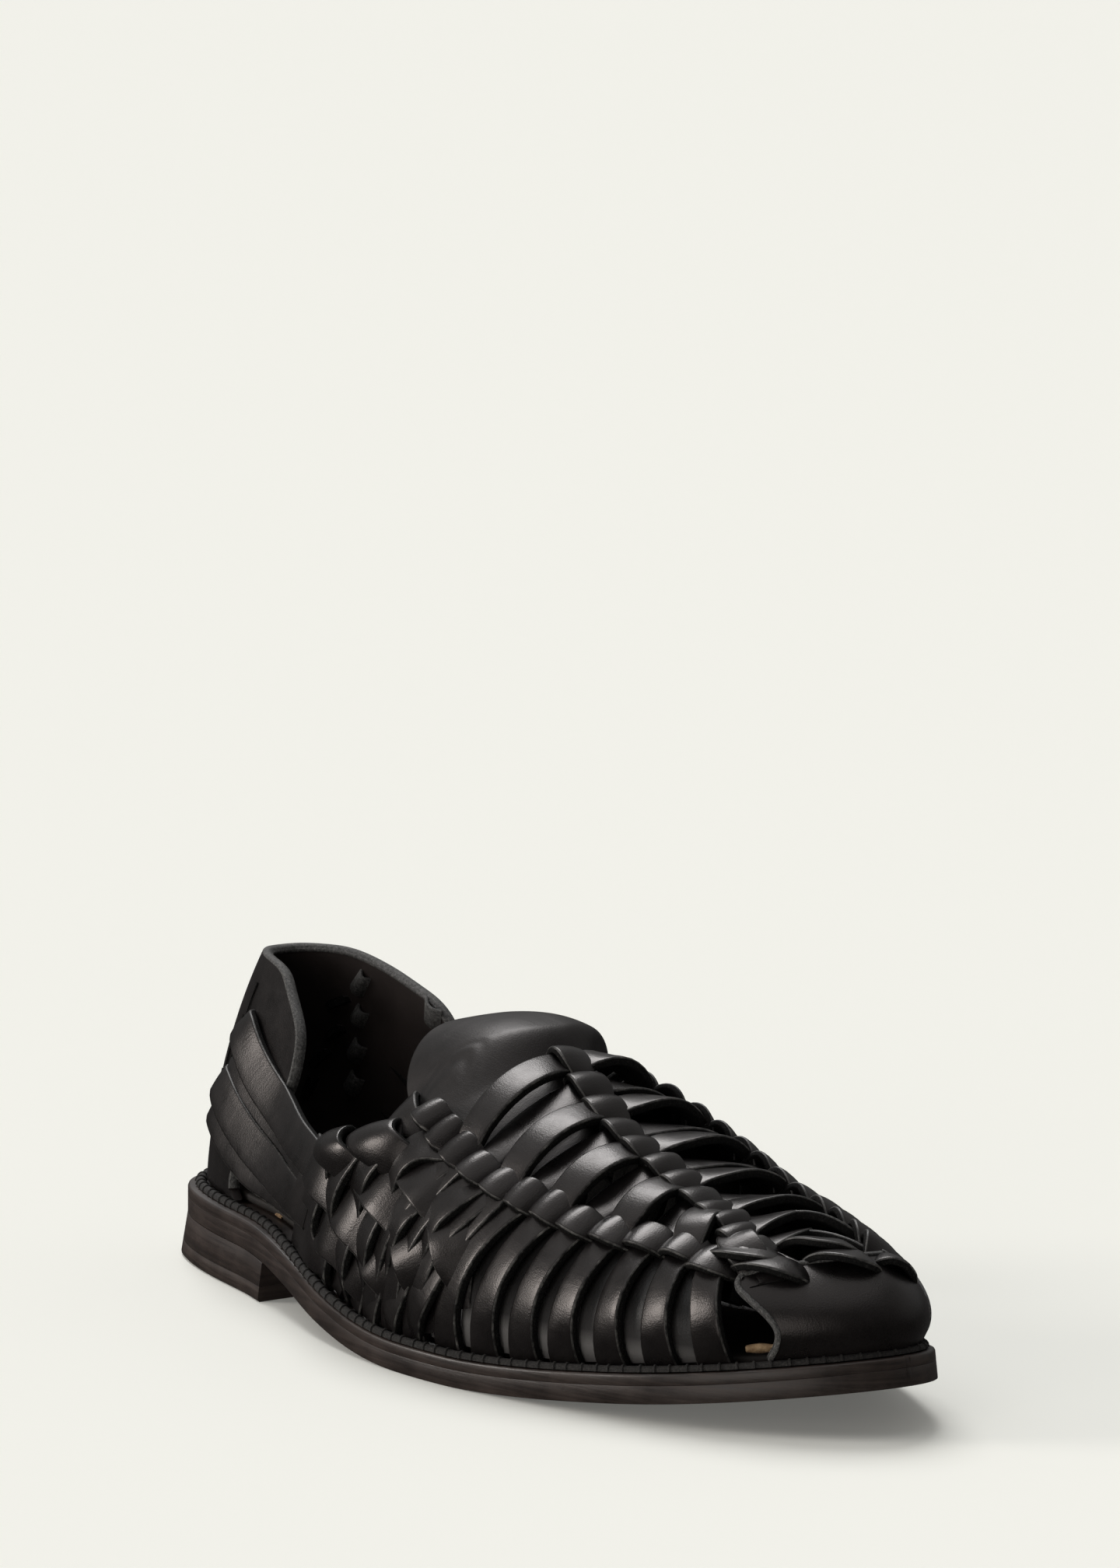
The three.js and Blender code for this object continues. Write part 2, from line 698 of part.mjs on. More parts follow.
// The tongue: a broad rounded tab that runs under the straps and swells up in a dome behind the first one.
// The dome's crest height at each station is a share of the instep
const domeTable = [
  { at: 0.36, top: 0.905 },
  { at: 0.42, top: 0.955 },
  { at: 0.475, top: 0.972 },
  { at: 0.52, top: 0.94 },
  { at: 0.56, top: 0.86 },
];
const domeTop = column(domeTable, 'top', instepHeight);
const domeShift = 8;
const domeReach = { [-1]: 36, [1]: 25 };
const domeFall = 23;
const domePower = 3;
const domeEndShare = 0.5;
const underStrapShare = 0.542;
const edgeLead = 0.075;
const tongueBackShare = 0.372;
const tongueFrontShare = 0.64;
const tongueCorner = 0.08;
const cornerPower = 2.4;
const tongueHalfAcross = { [-1]: 0.56, [1]: 0.42 };
const tongueCols = 12;
const tongueRows = 9;
const tongueStep = 2e-3;

// Its upper face: w runs -1 at the lateral edge to 1 at the medial one
function tonguePoint(share, w) {
  const side = w < 0 ? -1 : 1;
  const turn = shareToTurn(share);
  const across = w * tongueHalfAcross[side];
  const under = formPoint(turn, across).addScaledVector(formNormal(turn, across), fuse - leather - strapClearance);
  const height = domeTop(share) - domeFall * Math.abs(w) ** domePower;
  const dome = new THREE.Vector3(share * soleLength, domeShift + w * domeReach[side], height);
  const passed = share + edgeLead * w * w - domeEndShare;
  return dome.lerp(under, ease(clamp(passed / (underStrapShare - domeEndShare), 0, 1)));
}

function tongueSpot(share, w) {
  const point = tonguePoint(share, w);
  const along = tonguePoint(share + tongueStep, w).sub(tonguePoint(share - tongueStep, w));
  const over = tonguePoint(share, w + tongueStep).sub(tonguePoint(share, w - tongueStep));
  return { point, normal: along.cross(over).normalize() };
}

function tongueSheet() {
  const grid = [];
  for (let i = 0; i <= tongueRows; i += 1) {
    const row = [];
    for (let j = 0; j <= tongueCols; j += 1) {
      const w = (2 * j) / tongueCols - 1;
      const corner = tongueCorner * (1 - Math.sqrt(1 - Math.abs(w) ** cornerPower));
      row.push(tongueSpot(mix(tongueBackShare + corner, tongueFrontShare, i / tongueRows), w));
    }
    grid.push(row);
  }
  return sheet(grid, -tongueThickness, 0);
}

const insoleInset = (share) => inset(share) + leather + seatGap;

const leatherBlack = { color: 0x1b1a1b, roughness: 0.42, metalness: 0 };
const edgeBrown = { color: 0x241d1b, roughness: 0.38, metalness: 0 };
const weltDark = { color: 0x151413, roughness: 0.8, metalness: 0 };
const insoleDark = { color: 0x1d1a18, roughness: 0.6, metalness: 0 };

const pieces = [
  { name: 'top_lift', solid: heelLayer(0, topLiftThickness), look: edgeBrown },
  { name: 'heel_block', solid: heelLayer(topLiftThickness, undefined), look: edgeBrown },
  { name: 'outsole', solid: soleLayer(0, outsoleThickness, () => 0), look: edgeBrown },
  { name: 'midsole', solid: soleLayer(outsoleThickness + seatGap, soleThickness, () => 0), look: edgeBrown },
  { name: 'welt', solid: weltSolid(), look: weltDark },
  {
    name: 'insole',
    solid: soleLayer(soleThickness + seatGap, soleThickness + seatGap + insoleThickness, insoleInset),
    look: insoleDark,
  },
  { name: 'upper', solid: upperSolid(), look: leatherBlack },
  { name: 'tongue', solid: tongueSheet(), look: leatherBlack },
];

const sandal = new THREE.Group();
for (const { name, solid, look } of pieces) {
  const mesh = new THREE.Mesh(geometryOf(solid), new THREE.MeshStandardMaterial(look));
  mesh.name = name;
  sandal.add(mesh);
}
const box = new THREE.Box3().setFromObject(sandal);
sandal.position.set(-(box.min.x + box.max.x) / 2, -(box.min.y + box.max.y) / 2, 0);

export default sandal;
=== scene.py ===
"""A right huarache sandal of woven black leather: the looks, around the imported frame.

The last, the sole and the straps are worked out in millimetres, in the sole's own coordinates: X from the
back of the heel to the toe, Y to the medial side, Z up from the floor. in_frame() carries them to the
frame's metres.
"""

import math

import bmesh
import bpy
import numpy as np
from mathutils import Matrix, Vector


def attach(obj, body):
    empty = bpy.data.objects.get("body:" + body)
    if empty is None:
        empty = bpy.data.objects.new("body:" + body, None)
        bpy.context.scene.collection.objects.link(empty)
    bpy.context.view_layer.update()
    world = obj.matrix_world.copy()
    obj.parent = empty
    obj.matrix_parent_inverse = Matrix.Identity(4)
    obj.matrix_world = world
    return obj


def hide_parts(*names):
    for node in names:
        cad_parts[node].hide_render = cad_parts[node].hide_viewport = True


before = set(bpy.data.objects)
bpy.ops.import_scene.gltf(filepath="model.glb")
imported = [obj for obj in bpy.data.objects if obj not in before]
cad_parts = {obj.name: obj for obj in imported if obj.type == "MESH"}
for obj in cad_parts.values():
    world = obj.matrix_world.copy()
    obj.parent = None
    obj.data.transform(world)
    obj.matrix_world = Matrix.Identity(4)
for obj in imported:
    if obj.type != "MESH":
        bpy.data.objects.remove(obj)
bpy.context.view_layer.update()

# Driving sizes
SOLE_LENGTH = 300.0
BALL_WIDTH = 104.0
INSTEP_HEIGHT = 88.0
HEEL_HEIGHT = 12.0
TOE_SPRING = 13.5
TOP_LIFT = 4.2
OUTSOLE = 4.6
MIDSOLE = 2.9
INSOLE = 2.4
HEEL_FLARE = 1.6
SEAT_GAP = 0.3
LEATHER = 2.0
SOLE_THICKNESS = OUTSOLE + SEAT_GAP + MIDSOLE

# Shares of the sole length
HEEL_BREAST = 0.25
HEEL_EASE = 0.18
TREAD_START = 0.55
TREAD_END = 0.62
SPRING_POWER = 1.6
END_ROUND = 0.2
HEEL_ROUND = 2.3
ANKLE = 0.207
ANKLE_FAN = 0.38
FAN_END = 1 / 3
TOE_FAN_START = 0.783
TOE_FAN = 0.45
SWELL_POWER = 0.75

# Middle of the sandal's box in plan, in the sole's coordinates
BOX_MIDDLE = (149.21, -3.484)


def table(names, rows):
    """Columns of a table by name."""
    columns = np.array(rows, float).T
    return dict(zip(names.split(), columns))


def spline(knots, values, places):
    """A smooth curve through rows of values at rising knots."""
    before = np.r_[0, 0:len(knots) - 1]
    after = np.r_[1:len(knots), len(knots) - 1]
    slopes = (values[after] - values[before]) / (knots[after] - knots[before])[:, None]
    i = np.clip(np.searchsorted(knots, places, side="right") - 1, 0, len(knots) - 2)
    h = (knots[i + 1] - knots[i])[:, None]
    t = (places - knots[i])[:, None] / h
    low = ((2 * t - 3) * t * t + 1) * values[i] + ((t - 2) * t + 1) * t * h * slopes[i]
    high = (3 - 2 * t) * t * t * values[i + 1] + (t - 1) * t * t * h * slopes[i + 1]
    return low + high


def curve(columns, name, scale=1.0):
    """A smooth curve through one column of a table, over its column named at."""
    knots = columns["at"]
    values = columns[name][:, None] * scale

    def value(share):
        places = np.clip(np.asarray(share, float), knots[0], knots[-1])
        return spline(knots, values, places.ravel()).reshape(places.shape)

    return value


# Plan of the sole: centre line and half width as shares of the ball width
PLAN = table("at centre half", [
    (0.0, 0.01, 0.3),
    (0.1, 0.018, 0.307),
    (0.2, -0.008, 0.315),
    (0.3, -0.065, 0.337),
    (0.4, -0.112, 0.375),
    (0.5, -0.106, 0.428),
    (0.6, -0.058, 0.474),
    (0.7, -0.004, 0.476),
    (0.8, 0.028, 0.428),
    (0.9, 0.05, 0.368),
    (1.0, 0.105, 0.31),
])

# Form of the last: crest height as a share of the instep; its shift, the feather inset and the swells of
# both sides as shares of the ball width; the roundness of both halves of the section
LAST = table("at top shift inset lat_round med_round lat_swell med_swell", [
    (0.0, 1.341, 0.019, 0.072, 1.65, 1.65, 0.0, 0.0),
    (0.2, 1.341, 0.019, 0.072, 1.65, 1.75, -0.005, 0.014),
    (0.33, 1.205, 0.01, 0.067, 1.9, 1.9, 0.029, 0.019),
    (0.4, 1.114, 0.019, 0.063, 1.95, 2.0, 0.029, 0.024),
    (0.467, 1.0, 0.029, 0.063, 1.95, 2.2, 0.029, 0.029),
    (0.533, 0.898, 0.038, 0.063, 2.0, 2.35, 0.029, 0.029),
    (0.6, 0.795, 0.048, 0.063, 2.1, 2.5, 0.029, 0.029),
    (0.667, 0.705, 0.058, 0.063, 2.2, 2.6, 0.029, 0.034),
    (0.733, 0.62, 0.067, 0.067, 2.2, 2.6, 0.034, 0.038),
    (0.8, 0.557, 0.087, 0.072, 2.3, 2.6, 0.038, 0.048),
    (0.84, 0.528, 0.096, 0.077, 2.4, 2.6, 0.043, 0.058),
    (0.88, 0.506, 0.106, 0.082, 2.5, 2.6, 0.048, 0.067),
    (1.0, 0.5, 0.115, 0.096, 2.6, 2.6, 0.068, 0.068),
])

centre_line = curve(PLAN, "centre", BALL_WIDTH)
half_width = curve(PLAN, "half", BALL_WIDTH)
crest_top = curve(LAST, "top", INSTEP_HEIGHT)
crest_shift = curve(LAST, "shift", BALL_WIDTH)
feather_inset = curve(LAST, "inset", BALL_WIDTH)
roundness = {-1: curve(LAST, "lat_round"), 1: curve(LAST, "med_round")}
swell = {-1: curve(LAST, "lat_swell", BALL_WIDTH), 1: curve(LAST, "med_swell", BALL_WIDTH)}


def mix(a, b, t):
    return a + (b - a) * t


def ease(t):
    t = np.clip(t, 0, 1)
    return t * t * (3 - 2 * t)


def share_of(turn):
    return (1 - np.cos(np.pi * np.asarray(turn, float))) / 2


def turn_of(share):
    return np.arccos(1 - 2 * np.clip(share, 0, 1)) / np.pi


def end_round(share):
    """How far the plan is open: 0 at both ends, 1 along the middle."""
    heel = np.clip(1 - share / END_ROUND, 0, 1)
    toe = np.clip((share - 1 + END_ROUND) / END_ROUND, 0, 1)
    return (1 - heel ** HEEL_ROUND) ** (1 / HEEL_ROUND) * np.sqrt(1 - toe * toe)


def outline(turn, side):
    share = share_of(turn)
    return SOLE_LENGTH * share, centre_line(share) + side * half_width(share) * end_round(share)


OUTLINE_STEP = 1e-4


def inset_outline(turn, side, distance):
    """The sole's outline moved inwards by a distance."""
    turn = np.asarray(turn, float)
    x0, y0 = outline(np.maximum(turn - OUTLINE_STEP, 0), side)
    x1, y1 = outline(np.minimum(turn + OUTLINE_STEP, 1), side)
    long = np.hypot(x1 - x0, y1 - y0)
    x, y = outline(turn, side)
    return x + side * (y1 - y0) / long * distance, y - side * (x1 - x0) / long * distance


def underside(x):
    """Height of the sole's underside without the heel."""
    share = np.asarray(x, float) / SOLE_LENGTH
    drop = ease((share - HEEL_EASE) / (TREAD_START - HEEL_EASE))
    toe = np.clip((share - TREAD_END) / (1 - TREAD_END), 0, 2) ** SPRING_POWER
    return HEEL_HEIGHT * (1 - drop) + TOE_SPRING * toe


SLOPE_STEP = 1.0


def underside_slope(x):
    return underside(x + SLOPE_STEP / 2) - underside(x - SLOPE_STEP / 2)


def above_sole(x, y, height):
    """A point at a height above the underside, square to its slope."""
    x, y, height = np.broadcast_arrays(np.asarray(x, float), y, height)
    return np.stack([x - underside_slope(x) * height, y, underside(x) + height], -1)


def crest_station(share):
    """Where along the crest a wall leans to: a fan round the ankle and another round the toe."""
    heel = ANKLE + ANKLE_FAN * share
    toe = TOE_FAN_START + (share - TOE_FAN_START) * TOE_FAN
    return np.where(share < FAN_END, heel, np.where(share > TOE_FAN_START, toe, share))


def side_point(turn, rise, side):
    """A point of the last: rise 0 at the sole to 1 at the crest."""
    share = share_of(turn)
    fx, fy = inset_outline(turn, side, feather_inset(share))
    foot = above_sole(fx, fy, SOLE_THICKNESS + SEAT_GAP)
    crest = crest_station(share)
    top = np.stack([crest * SOLE_LENGTH, crest_shift(crest)], -1)
    power = 2 / roundness[side](share)
    angle = np.clip(rise, 0, 1) * np.pi / 2
    out = np.clip(np.cos(angle), 0, 1) ** power
    up = np.sin(angle) ** power
    way = top - foot[..., :2]
    bulge = swell[side](share) * np.sin(np.pi * up ** SWELL_POWER) / np.hypot(way[..., 0], way[..., 1])
    plan = foot[..., :2] + way * (1 - out - bulge)[..., None]
    height = foot[..., 2] + (crest_top(crest) - foot[..., 2]) * up
    return np.concatenate([plan, height[..., None]], -1)


def form_point(turn, across):
    """A point of the last: across is -1 at the sole's lateral edge, 0 at the crest, 1 at the medial edge."""
    turn, across = np.broadcast_arrays(np.asarray(turn, float), np.asarray(across, float))
    rise = 1 - np.abs(across)
    lateral = side_point(turn, rise, -1)
    medial = side_point(turn, rise, 1)
    return np.where((across < 0)[..., None], lateral, medial)


FORM_STEP = 3e-3


def unit(vectors):
    return vectors / np.maximum(np.linalg.norm(vectors, axis=-1, keepdims=True), 1e-9)


def surface_normal(point, along, over, step):
    """The outward direction of a surface that a function gives from two places."""
    ahead = point(np.minimum(along + step, 1), over) - point(np.maximum(along - step, 0), over)
    aside = point(along, np.minimum(over + step, 1)) - point(along, np.maximum(over - step, -1))
    return unit(np.cross(ahead, aside))


def form_normal(turn, across):
    return surface_normal(form_point, turn, across, FORM_STEP)


def lifted_point(turn, across, lift):
    """A point at a lift off the last."""
    return form_point(turn, across) + form_normal(turn, across) * np.asarray(lift)[..., None]


def run_along(points, least=0.0):
    """How far along a line each of its points lies; no step counts as shorter than the least one."""
    steps = np.linalg.norm(np.diff(points, axis=0), axis=1)
    return np.r_[0, np.cumsum(np.maximum(steps, least))]


def in_frame(points):
    """Millimetres in the sole's coordinates to metres in the frame."""
    return (np.asarray(points, float) - [*BOX_MIDDLE, 0]) / 1000


# Mesh making

# Material slots of a piece, how many millimetres make one unit of its texture places, and the angle in
# degrees from which its edges stay sharp
GRAIN, EDGE, ARRIS = 0, 1, 2
PLACE_UNIT = 100
SHARP_ANGLE = 55


class Sketch:
    """Vertices, faces, material slots and texture places of one piece, gathered before its mesh is made."""

    def __init__(self):
        self.points = []
        self.places = []
        self.faces = []
        self.slots = []
        self.count = 0

    def add(self, points, places, faces, slots):
        self.points.append(np.asarray(points, float).reshape(-1, 3))
        self.places.append(np.asarray(places, float).reshape(-1, 2))
        self.faces.extend([tuple(int(i) + self.count for i in face) for face in faces])
        self.slots.extend(slots)
        self.count += len(self.points[-1])

    def shell(self, points, normals, thickness, rim_round=0.45, lift=0.0):
        """A bent sheet between two lifts off a grid of points, with a rounded rim in the cut edge's slot."""
        rows, cols = points.shape[:2]
        size = rows * cols
        low = points + normals * lift
        high = points + normals * (lift + thickness)
        cells = np.arange(size).reshape(rows, cols)
        loop = np.r_[cells[0, :-1], cells[:-1, -1], cells[-1, :0:-1], cells[:0:-1, 0]]
        lower_rim = (low + normals * rim_round).reshape(-1, 3)[loop]
        upper_rim = (high - normals * rim_round).reshape(-1, 3)[loop]
        sheets = [pulled_in(sheet, rim_round).reshape(-1, 3) for sheet in (low, high)]
        run = np.cumsum(np.linalg.norm(np.diff(points, axis=0, prepend=points[:1]), axis=-1), axis=0)
        over = np.cumsum(np.linalg.norm(np.diff(points, axis=1, prepend=points[:, :1]), axis=-1), axis=1)
        places = np.stack([over, run], -1).reshape(-1, 2) / PLACE_UNIT
        quads = np.stack([cells[:-1, :-1], cells[:-1, 1:], cells[1:, 1:], cells[1:, :-1]], -1).reshape(-1, 4)
        faces = list(np.stack([quads[:, ::-1], quads + size], 1).reshape(-1, 4))
        slots = [EDGE, GRAIN] * len(quads)
        rim = 2 * size + np.arange(len(loop))
        chains = [loop, rim, rim + len(loop), loop + size]
        for a, b in zip(chains, chains[1:]):
            faces += list(np.stack([a, np.roll(a, -1), np.roll(b, -1), b], -1))
            slots += [EDGE] * len(loop)
        all_points = np.concatenate([*sheets, lower_rim, upper_rim])
        all_places = np.concatenate([places, places, places[loop], places[loop]])
        self.add(all_points, all_places, faces, slots)

    def plain_rings(self, rings, ends=True):
        """A closed tube of rings in the first material, its grain seen from above."""
        self.rings(rings, rings[..., :2] / PLACE_UNIT, [GRAIN] * rings.shape[1], ends)

    def rings(self, rings, places, slots, ends=True):
        """A closed tube of rings, with one slot for each strip between two points of a ring."""
        rows, cols = rings.shape[:2]
        i, j = np.meshgrid(np.arange(rows - 1), np.arange(cols), indexing="ij")
        k = (j + 1) % cols
        quads = np.stack([i * cols + j, i * cols + k, (i + 1) * cols + k, (i + 1) * cols + j], -1)
        faces = [tuple(q) for q in quads.reshape(-1, 4)]
        slot_list = [slots[c] for c in j.ravel()]
        if ends:
            faces.append(tuple(range(cols - 1, -1, -1)))
            faces.append(tuple((rows - 1) * cols + c for c in range(cols)))
            slot_list += [EDGE, EDGE]
        self.add(rings, places, faces, slot_list)


def pulled_in(grid, distance):
    """A grid with its border moved towards its middle."""
    moved = grid.copy()
    for border, neighbour in [(0, 1), (-1, -2)]:
        moved[border] += unit(grid[neighbour] - grid[border]) * distance
        moved[:, border] += unit(grid[:, neighbour] - grid[:, border]) * distance
    return moved


def piece(name, sketch, materials, replaces=("upper",)):
    """Makes one object from a sketch, rides it on the root body and hides the frame's parts that it replaces."""
    mesh = bpy.data.meshes.new(name)
    points = in_frame(np.concatenate(sketch.points))
    mesh.from_pydata([tuple(p) for p in points], [], sketch.faces)
    mesh.validate()
    layer = mesh.uv_layers.new(name="place")
    places = np.concatenate(sketch.places)
    corners = np.zeros(len(mesh.loops), int)
    mesh.loops.foreach_get("vertex_index", corners)
    layer.data.foreach_set("uv", places[corners].ravel())
    mesh.polygons.foreach_set("material_index", np.array(sketch.slots[:len(mesh.polygons)], np.int32))
    for material in materials:
        mesh.materials.append(material)
    face_outwards(mesh)
    mesh.shade_smooth()
    mesh.set_sharp_from_angle(angle=math.radians(SHARP_ANGLE))
    obj = bpy.data.objects.new(name, mesh)
    bpy.context.scene.collection.objects.link(obj)
    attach(obj, "root")
    if replaces:
        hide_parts(*replaces)


def face_outwards(mesh):
    work = bmesh.new()
    work.from_mesh(mesh)
    bmesh.ops.recalc_face_normals(work, faces=work.faces)
    work.to_mesh(mesh)
    work.free()


# A strap's cross section: side of the middle, how far in from the edge, share of the thickness, extra height
TOP_ROUND = 0.55
LOW_ROUND = 0.25
CROWN = 0.16
SHOULDER = 0.12
SIDE_SECTION = [
    (0.0, 0.5, 0.0),
    (0.0, 1.0, -TOP_ROUND),
    (0.16 * TOP_ROUND, 1.0, -0.45 * TOP_ROUND),
    (0.55 * TOP_ROUND, 1.0, -0.12 * TOP_ROUND),
    (1.3 * TOP_ROUND, 1.0, 0.02),
]
STRAP_SECTION = [(-1, *point) for point in SIDE_SECTION]
STRAP_SECTION += [(-0.45, 0.0, 1.0, SHOULDER), (0, 0.0, 1.0, CROWN), (0.45, 0.0, 1.0, SHOULDER)]
STRAP_SECTION += [(1, *point) for point in reversed(SIDE_SECTION)]
STRAP_SECTION += [(1, 0.0, 0.0, LOW_ROUND), (1, LOW_ROUND, 0.0, 0.0), (0, 0.0, 0.0, 0.0)]
STRAP_SECTION += [(-1, LOW_ROUND, 0.0, 0.0), (-1, 0.0, 0.0, LOW_ROUND)]
STRAP_SLOTS = [EDGE, ARRIS, ARRIS] + [GRAIN] * 6 + [ARRIS, ARRIS] + [EDGE] * 7
# How far the grain of one strap of a piece is shifted against the next, for each of its points
GRAIN_SHIFT = 7.3
# The shortest step that counts between two stops
LEAST_STEP = 0.01


def section(width, thickness, crown):
    """Places of the section's points across and up at each sample of a strap; the crown domes its face."""
    side, shrink, share, extra = np.array(STRAP_SECTION).T
    across = side * width[:, None] / 2 - np.sign(side) * shrink
    on_face = share > 0.9
    dome = (crown - 1) * CROWN * (1 - np.minimum(np.abs(side), 1) ** 2) * on_face
    return across, share * thickness + extra + dome


def sweep(sketch, centre, normal, width, thickness, crown=1.0, roll_deg=0.0):
    """A strap along centres, its back towards the foot; roll lifts its right edge, seen along its run."""
    tangent = unit(np.gradient(centre, axis=0))
    wide = unit(np.cross(normal, tangent))
    up = unit(np.cross(tangent, wide))
    roll = np.radians(np.broadcast_to(roll_deg, len(centre)))[:, None]
    up, wide = up * np.cos(roll) + wide * np.sin(roll), wide * np.cos(roll) - up * np.sin(roll)
    across, high = section(width, thickness, crown)
    rings = centre[:, None] + wide[:, None] * across[..., None] + up[:, None] * high[..., None]
    run = run_along(centre)[:, None] + GRAIN_SHIFT * sketch.count
    sketch.rings(rings, np.stack(np.broadcast_arrays(run, across), -1) / PLACE_UNIT, STRAP_SLOTS)


def strap(sketch, stops, samples, thickness, crown=1.0):
    """A strap laid on the last through stops of share, across, lift, width and, where it has one, roll."""
    stops = np.array(stops, float)
    turn = turn_of(stops[:, 0])
    knots = run_along(lifted_point(turn, stops[:, 1], stops[:, 2]), LEAST_STEP)
    values = spline(knots, np.column_stack([turn, stops[:, 1:]]), np.linspace(0, knots[-1], samples))
    turn, across, lift, width = values.T[:4]
    roll = values[:, 4] if values.shape[1] > 4 else 0.0
    sweep(sketch, lifted_point(turn, across, lift), form_normal(turn, across), width, thickness, crown, roll)


def line_strap(sketch, centres, normals, width, samples, thickness, crown, roll=0.0):
    """A strap through centres in space, with the direction it faces, its width and its roll at each."""
    count = len(centres)
    knots = run_along(centres)
    rows = np.column_stack([centres, normals, width, np.broadcast_to(roll, count)])
    values = spline(knots, rows, np.linspace(0, knots[-1], samples))
    sweep(sketch, values[:, :3], unit(values[:, 3:6]), values[:, 6], thickness, crown, values[:, 7])


# Materials

def set_inputs(tree, node, **values):
    """Sets or links a node's inputs by name."""
    for name, value in values.items():
        socket = node.inputs[name.replace("_", " ")]
        if isinstance(value, bpy.types.NodeSocket):
            tree.links.new(value, socket)
        else:
            socket.default_value = value


def add_node(tree, kind, **values):
    node = tree.nodes.new(kind)
    set_inputs(tree, node, **values)
    return node


def material(name, **values):
    """A material with its shader; returns the material, its node tree and the shader."""
    made = bpy.data.materials.new(name)
    made.use_nodes = True
    shader = made.node_tree.nodes["Principled BSDF"]
    set_inputs(made.node_tree, shader, **values)
    return made, made.node_tree, shader


def noise(tree, scale, detail=4.0, rough=0.55, distortion=0.0, vector=None):
    node = add_node(tree, "ShaderNodeTexNoise", Scale=scale, Detail=detail, Roughness=rough,
                    Distortion=distortion, Vector=vector or place_node(tree).outputs["Object"])
    return node.outputs["Fac"]


def place_node(tree):
    for node in tree.nodes:
        if node.bl_idname == "ShaderNodeTexCoord":
            return node
    return tree.nodes.new("ShaderNodeTexCoord")


def stretched(tree, places, scale):
    """The places that the named output gives, stretched."""
    node = add_node(tree, "ShaderNodeMapping", Vector=place_node(tree).outputs[places], Scale=scale)
    return node.outputs["Vector"]


def ramp(tree, factor, stops):
    """A colour ramp of (place, colour) stops."""
    node = tree.nodes.new("ShaderNodeValToRGB")
    tree.links.new(factor, node.inputs["Fac"])
    band = node.color_ramp
    while len(band.elements) < len(stops):
        band.elements.new(0.5)
    for element, (place, colour) in zip(band.elements, stops):
        element.position = place
        element.color = (*colour, 1) if isinstance(colour, tuple) else (colour, colour, colour, 1)
    return node.outputs["Color"]


def bump(tree, height, strength, distance_mm, normal=None):
    node = add_node(tree, "ShaderNodeBump", Strength=strength, Distance=distance_mm / 1000, Height=height)
    if normal is not None:
        tree.links.new(normal, node.inputs["Normal"])
    return node.outputs["Normal"]


def leather_grain(name, rough_low, rough_high, level=0.5):
    """Smooth black leather with a satin face: very fine pebble, faint wrinkles across and worn patches."""
    made, tree, shader = material(name, Specular_IOR_Level=level, Specular_Tint=(1, 0.925, 0.9, 1))
    tint_stops = [(0.3, (0.0035, 0.003, 0.0031)), (0.72, (0.0092, 0.0078, 0.0078))]
    gloss_stops = [(0.3, rough_low), (0.75, rough_high)]
    places = place_node(tree).outputs["Object"]
    pebble = add_node(tree, "ShaderNodeTexVoronoi", Vector=places, Scale=2100.0)
    grain = bump(tree, pebble.outputs["Distance"], 0.22, 0.1)
    pores = bump(tree, noise(tree, 3200, 3, 0.6), 0.2, 0.07, grain)
    wrinkles = noise(tree, 1.0, 4, 0.6, 0.5, stretched(tree, "UV", (70, 7, 1)))
    folded = bump(tree, wrinkles, 0.12, 0.3, pores)
    set_inputs(tree, shader, Base_Color=ramp(tree, noise(tree, 60, 5, 0.6), tint_stops),
               Roughness=ramp(tree, noise(tree, 120, 6, 0.65), gloss_stops),
               Normal=bump(tree, noise(tree, 75, 2, 0.5), 0.2, 0.7, folded))
    return made


def mottled(name, roughness, tint_noise, stops, bumps, level=0.5):
    """A material whose colour follows a noise; each bump is a noise, its strength and its depth in mm."""
    made, tree, shader = material(name, Roughness=roughness, Specular_IOR_Level=level)
    normal = None
    for bump_noise, strength, depth in bumps:
        normal = bump(tree, noise(tree, *bump_noise), strength, depth, normal)
    set_inputs(tree, shader, Base_Color=ramp(tree, noise(tree, *tint_noise), stops), Normal=normal)
    return made


def leather_edge():
    """The cut edge and back of a strap: rough dark fibres with a few pale ones."""
    fibres = (1900, 5, 0.75, 0.8)
    stops = [(0.42, (0.0028, 0.0027, 0.0026)), (0.6, (0.0085, 0.008, 0.0076)), (0.76, (0.06, 0.056, 0.052))]
    bumps = [((800, 5, 0.7), 0.8, 0.5), (fibres, 0.6, 0.25)]
    return mottled("cut_edge", 0.9, fibres, stops, bumps, level=0.2)


def arris_wear_and_painted_highlight():
    """The thin line where the face of a strap meets its cut edge, pale in places: partly rubbed wear, partly a
    painted highlight along the rounded edge.
    """
    # The pale stops are partly wear and partly a painted highlight on the arris
    stops = [(0.42, (0.01, 0.0092, 0.0088)), (0.6, (0.07, 0.066, 0.062)), (0.78, (0.22, 0.21, 0.2))]
    return mottled("arris_wear_and_painted_highlight", 0.45, (330, 5, 0.7), stops, [((1500, 4), 0.4, 0.2)])


def counter_lining():
    """The warm dark flesh side of the counter."""
    stops = [(0.3, (0.02, 0.0155, 0.0145)), (0.7, (0.042, 0.033, 0.031))]
    return mottled("counter_lining", 0.5, (40, 4), stops, [((120, 3), 0.2, 0.5)])


def rim_edge():
    """The thick raw rims of the counter and the toe cap, rubbed grey."""
    fibres = (1500, 5, 0.75, 0.5)
    stops = [(0.35, (0.02, 0.0195, 0.019)), (0.52, (0.075, 0.073, 0.071)), (0.75, (0.2, 0.195, 0.19))]
    return mottled("rubbed_rim", 0.7, fibres, stops, [(fibres, 0.7, 0.3)])


def thread():
    fibres = (1600, 5, 0.75)
    stops = [(0.35, (0.006, 0.0055, 0.005)), (0.6, (0.03, 0.027, 0.025)), (0.8, (0.12, 0.11, 0.1))]
    return mottled("waxed_thread", 0.75, fibres, stops, [(fibres, 0.9, 0.5)])


